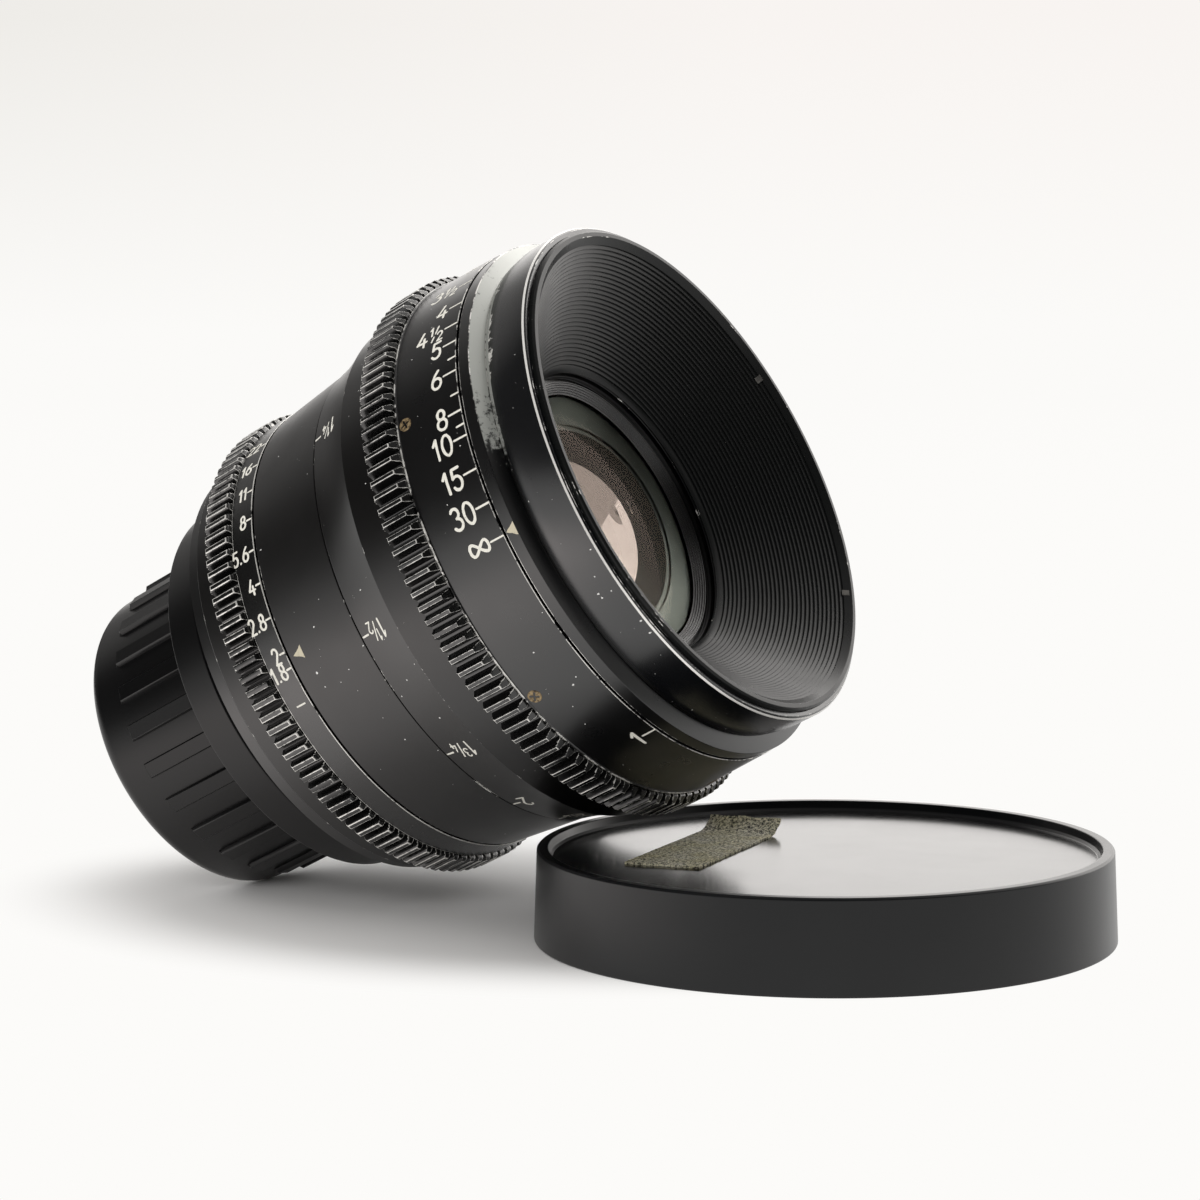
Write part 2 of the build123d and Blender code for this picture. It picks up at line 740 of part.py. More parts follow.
# Distance scale ring, held by countersunk screws into the helicoid's flange
focus_screw_x = focus_scale_x + focus_screw_inset
focus_screw_turns = [
    focus_screw_turn + 360 / focus_screw_count * number for number in range(focus_screw_count)
]
focus_screw_top_r = focus_scale_rear_r - focus_screw_sink
focus_screw_length = focus_screw_top_r - focus_scale_bore_r + focus_screw_bite
with BuildPart() as focus_scale_ring:
    with BuildSketch(meridian):
        with BuildLine():
            Polyline(
                (focus_scale_x, focus_scale_bore_r),
                (focus_scale_x, focus_scale_rear_r),
                (focus_front_x, focus_scale_front_r),
                (focus_front_x, focus_scale_bore_r),
                close=True,
            )
        make_face()
    revolve(axis=optical_axis)
    for screw_turn in focus_screw_turns:
        with BuildSketch(side_plane(focus_screw_x, focus_screw_top_r + cut_over, screw_turn)):
            Circle(focus_screw_head_r + fit_gap)
        extrude(amount=-(cut_over + focus_screw_head_depth), mode=Mode.SUBTRACT)
        with BuildSketch(side_plane(focus_screw_x, focus_screw_top_r, screw_turn)):
            Circle(focus_screw_r + fit_gap)
        extrude(amount=-focus_screw_length, mode=Mode.SUBTRACT)
focus_scale_ring.part.label = "focus_scale_ring"
export_step(focus_scale_ring.part, "parts/focus_scale_ring.step")

with BuildPart() as focus_screws:
    for screw_turn in focus_screw_turns:
        with BuildSketch(side_plane(focus_screw_x, focus_screw_top_r, screw_turn)):
            Circle(focus_screw_head_r)
        extrude(amount=-focus_screw_head_depth)
        with BuildSketch(side_plane(focus_screw_x, focus_screw_top_r, screw_turn)):
            Circle(focus_screw_r)
        extrude(amount=-focus_screw_length)
focus_screws.part.label = "focus_screws"
export_step(focus_screws.part, "parts/focus_screws.step")

# Helicoid nut that turns with the focus ring
helicoid_front_x = focus_scale_x + 2 * focus_screw_inset + fit_gap
helicoid_rear_x = helicoid_front_x - helicoid_length
helicoid_flange_r = focus_scale_bore_r - fit_gap
with BuildPart() as focus_helicoid:
    with BuildSketch(meridian):
        with BuildLine():
            Polyline(
                (helicoid_rear_x, helicoid_bore_r),
                (helicoid_rear_x, helicoid_r),
                (helicoid_front_x - helicoid_flange_thickness, helicoid_r),
                (helicoid_front_x - helicoid_flange_thickness, helicoid_flange_r),
                (helicoid_front_x, helicoid_flange_r),
                (helicoid_front_x, helicoid_bore_r),
                close=True,
            )
        make_face()
    revolve(axis=optical_axis)
    for screw_turn in focus_screw_turns:
        with BuildSketch(side_plane(focus_screw_x, focus_screw_top_r, screw_turn)):
            Circle(focus_screw_r + fit_gap)
        extrude(amount=-(focus_screw_length + fit_gap), mode=Mode.SUBTRACT)
focus_helicoid.part.label = "focus_helicoid"
export_step(focus_helicoid.part, "parts/focus_helicoid.step")

# Carrier that the helicoid moves along the guide tube
carrier_x = key_x + key_length / 2 - carrier_length / 2
with BuildPart() as focus_carrier:
    with BuildSketch(station(carrier_x)):
        Circle(carrier_r)
        Circle(carrier_bore_r, mode=Mode.SUBTRACT)
    extrude(amount=carrier_length)
    for key_number in range(key_count):
        slot_turn = key_turn + 360 / key_count * key_number
        with BuildSketch(side_plane(key_x + key_length / 2, carrier_bore_r - cut_over, slot_turn)):
            Rectangle(key_length + 2 * fit_gap, key_width + 2 * fit_gap)
        extrude(amount=cut_over + key_bite, mode=Mode.SUBTRACT)
focus_carrier.part.label = "focus_carrier"
export_step(focus_carrier.part, "parts/focus_carrier.step")

# Keys that run in the straight slots and join the carrier to the focus cell
key_foot_r = focus_cell_r - key_bite
with BuildPart() as focus_keys:
    for key_number in range(key_count):
        slot_turn = key_turn + 360 / key_count * key_number
        with BuildSketch(side_plane(key_x + key_length / 2, key_foot_r, slot_turn)):
            Rectangle(key_length, key_width)
        extrude(amount=carrier_bore_r + key_bite - 2 * fit_gap - key_foot_r)
focus_keys.part.label = "focus_keys"
export_step(focus_keys.part, "parts/focus_keys.step")


def make_nut(name, rear_x, length, outer_r, bore_r):
    """Threaded ring that holds an element against its shoulder."""
    with BuildPart() as nut:
        with BuildSketch(station(rear_x)):
            Circle(outer_r)
            Circle(bore_r, mode=Mode.SUBTRACT)
        extrude(amount=length)
    nut.part.label = name
    export_step(nut.part, f"parts/{name}.step")


def glass_side(edge_x, clear_r, bulge):
    """Arc of a ground surface, from its edge to the optical axis."""
    ball_r = (clear_r**2 + bulge**2) / (2 * abs(bulge))
    half_r = clear_r / 2
    drop = ball_r - sqrt(ball_r**2 - half_r**2)
    if bulge < 0:
        drop = -drop
    return ((edge_x, clear_r), (edge_x + bulge - drop, half_r), (edge_x + bulge, 0))


def make_element(name, rear_x, front_x, glass_r, rear_bulge, front_bulge):
    """One lens element; a bulge above zero moves that surface forward at the axis."""
    clear_r = glass_r - glass_seat
    with BuildPart() as element:
        with BuildSketch(meridian):
            with BuildLine():
                rear_side = ThreePointArc(*glass_side(rear_x, clear_r, rear_bulge))
                front_side = ThreePointArc(*glass_side(front_x, clear_r, front_bulge))
                Polyline(rear_side @ 0, (rear_x, glass_r), (front_x, glass_r), front_side @ 0)
                Line(rear_side @ 1, front_side @ 1)
            make_face()
        revolve(axis=optical_axis)
    element.part.label = name
    export_step(element.part, f"parts/{name}.step")


# Focusing cell with two elements, each held by a nut
third_front_x = focus_cell_front_x - 2 * nut_length
third_rear_x = third_front_x - third_glass_edge
fourth_rear_x = focus_cell_x + nut_length
fourth_front_x = fourth_rear_x + fourth_glass_edge
with BuildPart() as focus_cell:
    with BuildSketch(meridian):
        with BuildLine():
            Polyline(
                (focus_cell_x, fourth_glass_r + fit_gap),
                (focus_cell_x, focus_cell_r),
                (focus_cell_front_x, focus_cell_r),
                (focus_cell_front_x, third_glass_r + fit_gap),
                (third_rear_x, third_glass_r + fit_gap),
                (third_rear_x, third_glass_r - glass_seat),
                (fourth_front_x, fourth_glass_r - glass_seat),
                (fourth_front_x, fourth_glass_r + fit_gap),
                close=True,
            )
        make_face()
    revolve(axis=optical_axis)
    for key_number in range(key_count):
        slot_turn = key_turn + 360 / key_count * key_number
        with BuildSketch(side_plane(key_x + key_length / 2, key_foot_r - fit_gap, slot_turn)):
            Rectangle(key_length + 2 * fit_gap, key_width + 2 * fit_gap)
        extrude(amount=key_bite + cut_over, mode=Mode.SUBTRACT)
focus_cell.part.label = "focus_cell"
export_step(focus_cell.part, "parts/focus_cell.step")

make_element(
    "third_element",
    third_rear_x,
    third_front_x,
    third_glass_r,
    third_glass_rear_bulge,
    third_glass_front_bulge,
)
make_nut(
    "third_nut", third_front_x, nut_length, third_glass_r, third_glass_r - glass_seat
)
make_element(
    "fourth_element",
    fourth_rear_x,
    fourth_front_x,
    fourth_glass_r,
    fourth_glass_rear_bulge,
    fourth_glass_front_bulge,
)
make_nut(
    "fourth_nut", focus_cell_x, nut_length, fourth_glass_r, fourth_glass_r - glass_seat
)

# Index ring: lip that guides the scale ring, web, index band and bevel
with BuildPart() as index_ring:
    lip_rear_x = index_x - index_lip_length
    web_x = guide_tube_front_x
    with BuildSketch(meridian):
        with BuildLine():
            Polyline(
                (web_x, guide_tube_bore_r + fit_gap),
                (web_x, lip_bore_r),
                (lip_rear_x, lip_bore_r),
                (lip_rear_x, lip_r),
                (index_x, lip_r),
                (index_x, index_r),
                (bevel_x, index_r),
                (front_ring_x, front_ring_rear_r),
                (front_ring_x, lip_bore_r),
                (web_x + index_web_thickness, lip_bore_r),
                (web_x + index_web_thickness, guide_tube_bore_r + fit_gap),
                close=True,
            )
        make_face()
    revolve(axis=optical_axis)
index_ring.part.label = "index_ring"
export_step(index_ring.part, "parts/index_ring.step")

# Name ring at the very front, screwed into the index ring
hood_collar_x = hood_front_x - hood_collar_length
with BuildPart() as front_ring:
    spigot_r = lip_bore_r - fit_gap
    spigot_bore_r = spigot_r - front_spigot_wall
    with BuildSketch(meridian):
        with BuildLine():
            Polyline(
                (front_ring_x - front_spigot_length, spigot_bore_r),
                (front_ring_x - front_spigot_length, spigot_r),
                (front_ring_x, spigot_r),
                (front_ring_x, front_ring_rear_r),
                (front_x - front_ring_edge - front_ring_band, front_ring_r),
                (front_x - front_ring_edge, front_ring_r),
                (front_x, front_ring_r - front_ring_edge),
                (front_x, hood_lip_r + fit_gap),
                (hood_collar_x - fit_gap, hood_lip_r + fit_gap),
                (hood_collar_x - fit_gap, spigot_bore_r),
                close=True,
            )
        make_face()
    revolve(axis=optical_axis)
front_ring.part.label = "front_ring"
export_step(front_ring.part, "parts/front_ring.step")

# Hood: a funnel from the front lip down to the front element
hood_throat_x = hood_front_x - hood_depth
hood_slope = (hood_mouth_r - hood_throat_r) / hood_depth
with BuildPart() as front_hood:
    with BuildSketch(meridian):
        with BuildLine():
            Polyline(
                (hood_throat_x - hood_throat_land, hood_throat_r),
                (hood_throat_x - hood_throat_land, hood_throat_r + hood_wall),
                (hood_throat_x, hood_throat_r + hood_wall),
                (
                    hood_collar_x,
                    hood_throat_r + hood_wall + hood_slope * (hood_collar_x - hood_throat_x),
                ),
                (hood_collar_x, hood_lip_r),
                (hood_front_x - hood_mouth_edge, hood_lip_r),
                (hood_front_x, hood_lip_r - hood_mouth_edge),
                (hood_front_x, hood_mouth_r),
                (hood_throat_x, hood_throat_r),
                close=True,
            )
        make_face()
    revolve(axis=optical_axis)
front_hood.part.label = "front_hood"
export_step(front_hood.part, "parts/front_hood.step")

# Front cell, in the front of the guide tube
front_cell_front_x = hood_throat_x - hood_throat_land - front_cell_clearance
front_cell_rear_x = front_cell_front_x - front_cell_length
front_nut_front_x = front_cell_front_x - front_nut_inset
front_nut_x = front_nut_front_x - front_nut_length
front_glass_rear_x = front_nut_x - front_glass_edge
second_rear_x = front_cell_rear_x + nut_length
second_front_x = second_rear_x + second_glass_edge
with BuildPart() as front_cell:
    with BuildSketch(meridian):
        with BuildLine():
            Polyline(
                (front_cell_rear_x, second_glass_r + fit_gap),
                (front_cell_rear_x, front_cell_r),
                (front_cell_front_x, front_cell_r),
                (front_cell_front_x, front_nut_r + fit_gap),
                (front_nut_x, front_nut_r + fit_gap),
                (front_nut_x, front_glass_r + fit_gap),
                (front_glass_rear_x, front_glass_r + fit_gap),
                (front_glass_rear_x, front_glass_r - glass_seat),
                (second_front_x, second_glass_r - glass_seat),
                (second_front_x, second_glass_r + fit_gap),
                close=True,
            )
        make_face()
    revolve(axis=optical_axis)
front_cell.part.label = "front_cell"
export_step(front_cell.part, "parts/front_cell.step")

# Threaded nut over the front element, with spanner notches
with BuildPart() as front_nut:
    with BuildSketch(meridian):
        with BuildLine():
            Polyline(
                (front_nut_x, front_nut_bore_r),
                (front_nut_x, front_nut_r),
                (front_nut_front_x, front_nut_r),
                (front_nut_front_x, front_nut_bore_r + front_nut_slope),
                close=True,
            )
        make_face()
    revolve(axis=optical_axis)
    for notch_turn in front_notch_turns:
        with BuildSketch(station(front_nut_front_x, notch_turn)):
            with PolarLocations(front_nut_r, 2):
                Rectangle(front_notch_width, front_notch_width)
        extrude(amount=-front_notch_depth, mode=Mode.SUBTRACT)
front_nut.part.label = "front_nut"
export_step(front_nut.part, "parts/front_nut.step")

make_element(
    "front_element",
    front_glass_rear_x,
    front_nut_x,
    front_glass_r,
    front_glass_rear_bulge,
    front_glass_front_bulge,
)
make_element(
    "second_element",
    second_rear_x,
    second_front_x,
    second_glass_r,
    second_glass_rear_bulge,
    second_glass_front_bulge,
)
make_nut(
    "second_nut", front_cell_rear_x, nut_length, second_glass_r, second_glass_r - glass_seat
)

# Rear cell through the mount, with a cemented pair at the iris
fifth_nut_x = iris_plate_x - nut_length
joint_x = fifth_nut_x - fifth_glass_edge
sixth_rear_x = joint_x - sixth_glass_edge
seventh_front_x = sixth_rear_x - rear_shoulder_length
seventh_rear_x = seventh_front_x - seventh_glass_edge
rear_glass_rear_x = nut_length - rear_cell_reach
rear_glass_front_x = rear_glass_rear_x + rear_glass_edge
with BuildPart() as rear_cell:
    flange_r = housing_bore_r - fit_gap
    with BuildSketch(meridian):
        with BuildLine():
            Polyline(
                (-rear_cell_reach, rear_glass_r + fit_gap),
                (-rear_cell_reach, rear_cell_tail_r),
                (-mount_tube_length, rear_cell_tail_r),
                (-mount_tube_length, rear_cell_r),
                (shim_x, rear_cell_r),
                (shim_x, flange_r),
                (iris_plate_x, flange_r),
                (iris_plate_x, fifth_glass_r + fit_gap),
                (sixth_rear_x, fifth_glass_r + fit_gap),
                (sixth_rear_x, fifth_glass_r - glass_seat),
                (seventh_front_x, seventh_glass_r - glass_seat),
                (seventh_front_x, seventh_glass_r + fit_gap),
                (rear_glass_front_x, seventh_glass_r + fit_gap),
                (rear_glass_front_x, rear_glass_r + fit_gap),
                close=True,
            )
        make_face()
    revolve(axis=optical_axis)
rear_cell.part.label = "rear_cell"
export_step(rear_cell.part, "parts/rear_cell.step")

make_element(
    "fifth_element",
    joint_x,
    fifth_nut_x,
    fifth_glass_r,
    joint_bulge,
    fifth_glass_front_bulge,
)
make_element(
    "sixth_element",
    sixth_rear_x,
    joint_x,
    fifth_glass_r,
    sixth_glass_rear_bulge,
    joint_bulge,
)
make_element(
    "seventh_element",
    seventh_rear_x,
    seventh_front_x,
    seventh_glass_r,
    seventh_glass_rear_bulge,
    seventh_glass_front_bulge,
)
make_element(
    "rear_element",
    rear_glass_rear_x,
    rear_glass_front_x,
    rear_glass_r,
    rear_glass_rear_bulge,
    rear_glass_front_bulge,
)
make_nut(
    "fifth_nut", fifth_nut_x, nut_length, fifth_glass_r, fifth_glass_r - glass_seat
)
make_nut(
    "seventh_nut",
    seventh_rear_x - nut_length,
    nut_length,
    seventh_glass_r,
    seventh_glass_r - glass_seat,
)
make_nut(
    "rear_nut", -rear_cell_reach, nut_length, rear_glass_r, rear_glass_r - glass_seat
)

# Rear cap: cup, grip bars and the flange that covers the mount
with BuildPart() as rear_cap:
    bar_rear_x = cap_end_x + cap_bar_start
    with BuildSketch(meridian):
        with BuildLine():
            Polyline(
                (cap_end_x, 0),
                (cap_end_x, cap_body_r),
                (-cap_flange_behind, cap_body_r),
                (-cap_flange_behind, cap_flange_rear_r),
                (cap_flange_ahead - cap_flange_edge, cap_flange_front_r),
                (cap_flange_ahead, cap_flange_front_r - cap_flange_edge),
                (cap_flange_ahead, lug_bore_r),
                (-run_gap, lug_bore_r),
                (-run_gap, cap_bore_r),
                (cap_end_x + cap_floor, cap_bore_r),
                (cap_end_x + cap_floor, 0),
                close=True,
            )
        make_face()
    revolve(axis=optical_axis)
    fillet(rear_cap.edges().group_by(optical_axis)[0], cap_corner)
    with BuildSketch(station(-cap_flange_behind)):
        with PolarLocations(cap_body_r, cap_bar_count):
            Rectangle(2 * cap_bar_height, cap_bar_width)
    extrude(amount=-(-cap_flange_behind - bar_rear_x))
    with BuildSketch(meridian):
        with BuildLine():
            Polyline(
                (bar_rear_x - cut_over, cap_body_r),
                (bar_rear_x, cap_body_r),
                (bar_rear_x + cap_bar_slope, cap_body_r + cap_bar_height + fit_gap),
                (bar_rear_x - cut_over, cap_body_r + cap_bar_height + cut_over),
                close=True,
            )
        make_face()
    revolve(axis=optical_axis, mode=Mode.SUBTRACT)
rear_cap.part.label = "rear_cap"
export_step(rear_cap.part, "parts/rear_cap.step")

# Front cap, taken off and laid on the ground with its mouth down
cap_upright = Plane(origin=(front_cap_x, 0, 0), x_dir=(1, 0, 0), z_dir=(0, -1, 0))
cap_axis = Axis((front_cap_x, 0, 0), (0, 0, 1))
cap_face_z = front_cap_height - front_cap_recess
with BuildPart() as front_cap:
    rim_bore_r = front_cap_top_r - front_cap_rim
    with BuildSketch(cap_upright):
        with BuildLine():
            Polyline(
                (0, cap_face_z - front_cap_plate),
                (front_cap_bore_r, cap_face_z - front_cap_plate),
                (front_cap_bore_r, 0),
                (front_cap_base_r, 0),
                (front_cap_top_r, front_cap_height - front_cap_edge),
                (front_cap_top_r - front_cap_edge, front_cap_height),
                (rim_bore_r, front_cap_height),
                (rim_bore_r - front_cap_edge, cap_face_z + front_cap_step),
                (rim_bore_r - front_cap_edge - front_cap_step, cap_face_z),
                (0, cap_face_z),
                close=True,
            )
        make_face()
    revolve(axis=cap_axis)
front_cap.part.label = "front_cap"
export_step(front_cap.part, "parts/front_cap.step")

# Worn strip of tape on the front cap's face
with BuildPart() as cap_tape:
    with BuildSketch(Plane.XY.offset(cap_face_z)):
        with Locations((front_cap_x + tape_shift_x, tape_shift_y)):
            Rectangle(tape_length, tape_width, rotation=tape_turn)
    extrude(amount=tape_thickness)
cap_tape.part.label = "cap_tape"
export_step(cap_tape.part, "parts/cap_tape.step")

print(f"seat at x {seat_x:.3f} z {seat_z:.3f}, rests at {rest_x:.2f} on radius {rest_r:.2f}")
print(f"front cap at x {front_cap_x:.3f}, front lip {hood_front_x:.2f} ahead of the seat")
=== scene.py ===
"""Dresses a cinema prime lens that leans on its own front cap.

Lengths are in millimetres and turns in degrees until a point is placed in the frame,
which is in metres. Places along the lens are measured forward from the mount's seat.
"""

import json
import logging
import math
import random
from dataclasses import dataclass, field
from enum import Enum
from typing import Callable, Sequence

import bmesh
import bpy
from mathutils import Matrix, Vector

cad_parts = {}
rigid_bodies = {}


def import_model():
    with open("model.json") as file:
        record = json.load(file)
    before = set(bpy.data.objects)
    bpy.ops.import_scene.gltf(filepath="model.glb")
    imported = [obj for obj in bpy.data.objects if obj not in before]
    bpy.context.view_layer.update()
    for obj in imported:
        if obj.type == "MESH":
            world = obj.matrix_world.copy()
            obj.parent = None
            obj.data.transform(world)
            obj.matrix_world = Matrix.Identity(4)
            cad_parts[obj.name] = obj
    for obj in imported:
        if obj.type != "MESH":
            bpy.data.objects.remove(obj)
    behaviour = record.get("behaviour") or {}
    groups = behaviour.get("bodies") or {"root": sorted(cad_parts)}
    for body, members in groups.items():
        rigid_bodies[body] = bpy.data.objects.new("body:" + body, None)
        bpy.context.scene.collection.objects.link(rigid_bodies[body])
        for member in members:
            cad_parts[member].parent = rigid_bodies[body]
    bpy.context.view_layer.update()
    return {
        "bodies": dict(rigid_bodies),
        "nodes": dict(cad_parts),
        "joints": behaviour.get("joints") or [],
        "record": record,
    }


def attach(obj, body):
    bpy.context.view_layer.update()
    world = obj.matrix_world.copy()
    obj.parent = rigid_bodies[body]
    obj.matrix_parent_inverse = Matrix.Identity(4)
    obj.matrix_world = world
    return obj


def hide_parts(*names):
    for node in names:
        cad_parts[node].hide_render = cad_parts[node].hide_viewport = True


log = logging.getLogger("lens")

MM = 0.001
Point = tuple[float, float]
Marked = tuple[float, float, float]


class Slot(Enum):
    """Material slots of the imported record."""

    ANODISED = "anodised_black"
    MOUNT = "mount_steel"
    STEEL = "screw_steel"
    BRASS = "worn_brass"
    BLADE = "blade_steel"
    GLASS = "coated_glass"
    PLASTIC = "cap_plastic"
    TAPE = "tape_cloth"


class Reading(Enum):
    """Which way a line of numerals runs along the lens."""

    FORWARD = 1
    BACKWARD = -1


def linear(hex_colour: str, alpha: float = 1.0) -> tuple[float, float, float, float]:
    """Turn an sRGB hex colour to a linear one.

    Args:
        hex_colour: Six hex digits.
        alpha: Opacity, passed on unchanged.

    Returns:
        Linear red, green, blue and alpha.
    """
    parts = [int(hex_colour[k : k + 2], 16) / 255 for k in (0, 2, 4)]
    red, green, blue = [c / 12.92 if c <= 0.04045 else ((c + 0.055) / 1.055) ** 2.4 for c in parts]
    return red, green, blue, alpha


def add_node(tree: bpy.types.NodeTree, kind: str, inputs: dict | None = None, **settings) -> bpy.types.Node:
    """Add a node with its settings, values and links.

    Args:
        tree: Node tree that gets the node.
        kind: Blender's name of the node type.
        inputs: Value or linked socket for each named or numbered input.
        **settings: Properties set on the node itself.

    Returns:
        The new node.
    """
    node = tree.nodes.new(kind)
    for name, value in settings.items():
        setattr(node, name, value)
    for name, value in (inputs or {}).items():
        if isinstance(value, bpy.types.NodeSocket):
            tree.links.new(value, node.inputs[name])
        else:
            node.inputs[name].default_value = value
    return node


def blank_material(name: str) -> tuple[bpy.types.Material, bpy.types.NodeTree]:
    """Return a new material with an empty node tree."""
    material = bpy.data.materials.new(name)
    material.use_nodes = True
    material.node_tree.nodes.clear()
    return material, material.node_tree


def per_metre(size_mm: float) -> float:
    """Return the texture scale that gives features of a size in millimetres."""
    return 1 / (size_mm * MM)


@dataclass(frozen=True)
class AnodisedAluminium:
    """Turned aluminium with a black dyed oxide skin, worn through where hands and mounts rub.

    The skin is a hard dielectric over metal, so it shines softly, and bare metal
    shows as pale nicks on its edges and as a few specks elsewhere.
    """

    name: str
    dye: str = "060607"
    bare: str = "E4E2DD"
    roughness: float = 0.3
    edge_wear: float = 0.4
    speck_share: float = 0.03
    speck_mm: float = 3.2
    tooling_mm: float = 0.35
    rub_mm: float = 7.0
    ior: float = 1.77
    shine: float = 0.5

    def material(self) -> bpy.types.Material:
        """Build the finish.

        Returns:
            The material, made once for each name.
        """
        known = bpy.data.materials.get(self.name)
        if known:
            return known
        material, tree = blank_material(self.name)
        place = add_node(tree, "ShaderNodeTexCoord").outputs["Object"]
        wear = add_node(tree, "ShaderNodeAttribute", attribute_name="wear").outputs["Fac"]
        nicks = add_node(
            tree, "ShaderNodeTexNoise", {"Vector": place, "Scale": per_metre(1.1), "Detail": 5.0, "Roughness": 0.7}
        )
        lumps = add_node(
            tree, "ShaderNodeTexNoise", {"Vector": place, "Scale": per_metre(self.rub_mm), "Detail": 3.0}
        )
        rough_edge = add_node(
            tree, "ShaderNodeMath", {0: nicks.outputs["Fac"], 1: lumps.outputs["Fac"]}, operation="MULTIPLY"
        )
        reach = add_node(tree, "ShaderNodeMath", {0: wear, 1: rough_edge.outputs[0]}, operation="MULTIPLY")
        edge = add_node(
            tree,
            "ShaderNodeMapRange",
            {"Value": reach.outputs[0], "From Min": 0.34 - 0.2 * self.edge_wear, "From Max": 0.38 - 0.2 * self.edge_wear},
        )
        cells = add_node(
            tree, "ShaderNodeTexVoronoi", {"Vector": place, "Scale": per_metre(self.speck_mm), "Randomness": 1.0}
        )
        chosen = add_node(
            tree,
            "ShaderNodeMath",
            {0: add_node(tree, "ShaderNodeSeparateColor", {"Color": cells.outputs["Color"]}).outputs[0], 1: self.speck_share},
            operation="LESS_THAN",
        )
        ragged = add_node(
            tree, "ShaderNodeMath", {0: nicks.outputs["Fac"], 1: 0.11}, operation="MULTIPLY"
        )
        near = add_node(
            tree, "ShaderNodeMath", {0: cells.outputs["Distance"], 1: ragged.outputs[0]}, operation="LESS_THAN"
        )
        speck = add_node(tree, "ShaderNodeMath", {0: chosen.outputs[0], 1: near.outputs[0]}, operation="MULTIPLY")
        bared = add_node(tree, "ShaderNodeMath", {0: edge.outputs[0], 1: speck.outputs[0]}, operation="MAXIMUM")
        colour = add_node(
            tree,
            "ShaderNodeMix",
            {0: bared.outputs[0], 6: linear(self.dye), 7: linear(self.bare)},
            data_type="RGBA",
        )
        metallic = add_node(tree, "ShaderNodeMath", {0: bared.outputs[0], 1: 0.35}, operation="MULTIPLY")
        smears = add_node(
            tree,
            "ShaderNodeMapRange",
            {"Value": lumps.outputs["Fac"], "To Min": self.roughness - 0.05, "To Max": self.roughness + 0.07},
        )
        grain = add_node(
            tree, "ShaderNodeTexNoise", {"Vector": place, "Scale": per_metre(self.tooling_mm), "Detail": 2.0}
        )
        bump = add_node(
            tree, "ShaderNodeBump", {"Height": grain.outputs["Fac"], "Strength": 0.06, "Distance": 0.05 * MM}
        )
        shader = add_node(
            tree,
            "ShaderNodeBsdfPrincipled",
            {
                "Base Color": colour.outputs[2],
                "Metallic": metallic.outputs[0],
                "Roughness": smears.outputs[0],
                "IOR": self.ior,
                "Specular IOR Level": self.shine,
                "Normal": bump.outputs[0],
            },
        )
        add_node(tree, "ShaderNodeOutputMaterial", {"Surface": shader.outputs[0]})
        return material


@dataclass(frozen=True)
class BareAluminium:
    """Aluminium with its skin rubbed off: grey and streaky, with dark rests of the dye."""

    name: str
    metal: str = "A9ABAC"
    rest: str = "3A3B3D"
    roughness: float = 0.34
    rest_share: float = 0.35
    streak_mm: float = 4.0
    metallic: float = 1.0

    def material(self) -> bpy.types.Material:
        """Build the finish.

        Returns:
            The material, made once for each name.
        """
        known = bpy.data.materials.get(self.name)
        if known:
            return known
        material, tree = blank_material(self.name)
        place = add_node(tree, "ShaderNodeTexCoord").outputs["Object"]
        streaks = add_node(
            tree, "ShaderNodeTexNoise", {"Vector": place, "Scale": per_metre(self.streak_mm), "Detail": 6.0, "Roughness": 0.65}
        )
        left = add_node(
            tree,
            "ShaderNodeMapRange",
            {"Value": streaks.outputs["Fac"], "From Min": 0.62 - self.rest_share * 0.3, "From Max": 0.72 - self.rest_share * 0.3},
        )
        colour = add_node(
            tree, "ShaderNodeMix", {0: left.outputs[0], 6: linear(self.metal), 7: linear(self.rest)}, data_type="RGBA"
        )
        metal_share = add_node(tree, "ShaderNodeMath", {0: 1.0, 1: left.outputs[0]}, operation="SUBTRACT")
        metallic = add_node(tree, "ShaderNodeMath", {0: metal_share.outputs[0], 1: self.metallic}, operation="MULTIPLY")
        bump = add_node(
            tree, "ShaderNodeBump", {"Height": streaks.outputs["Fac"], "Strength": 0.25, "Distance": 0.08 * MM}
        )
        shader = add_node(
            tree,
            "ShaderNodeBsdfPrincipled",
            {
                "Base Color": colour.outputs[2],
                "Metallic": metallic.outputs[0],
                "Roughness": self.roughness,
                "Normal": bump.outputs[0],
            },
        )
        add_node(tree, "ShaderNodeOutputMaterial", {"Surface": shader.outputs[0]})
        return material


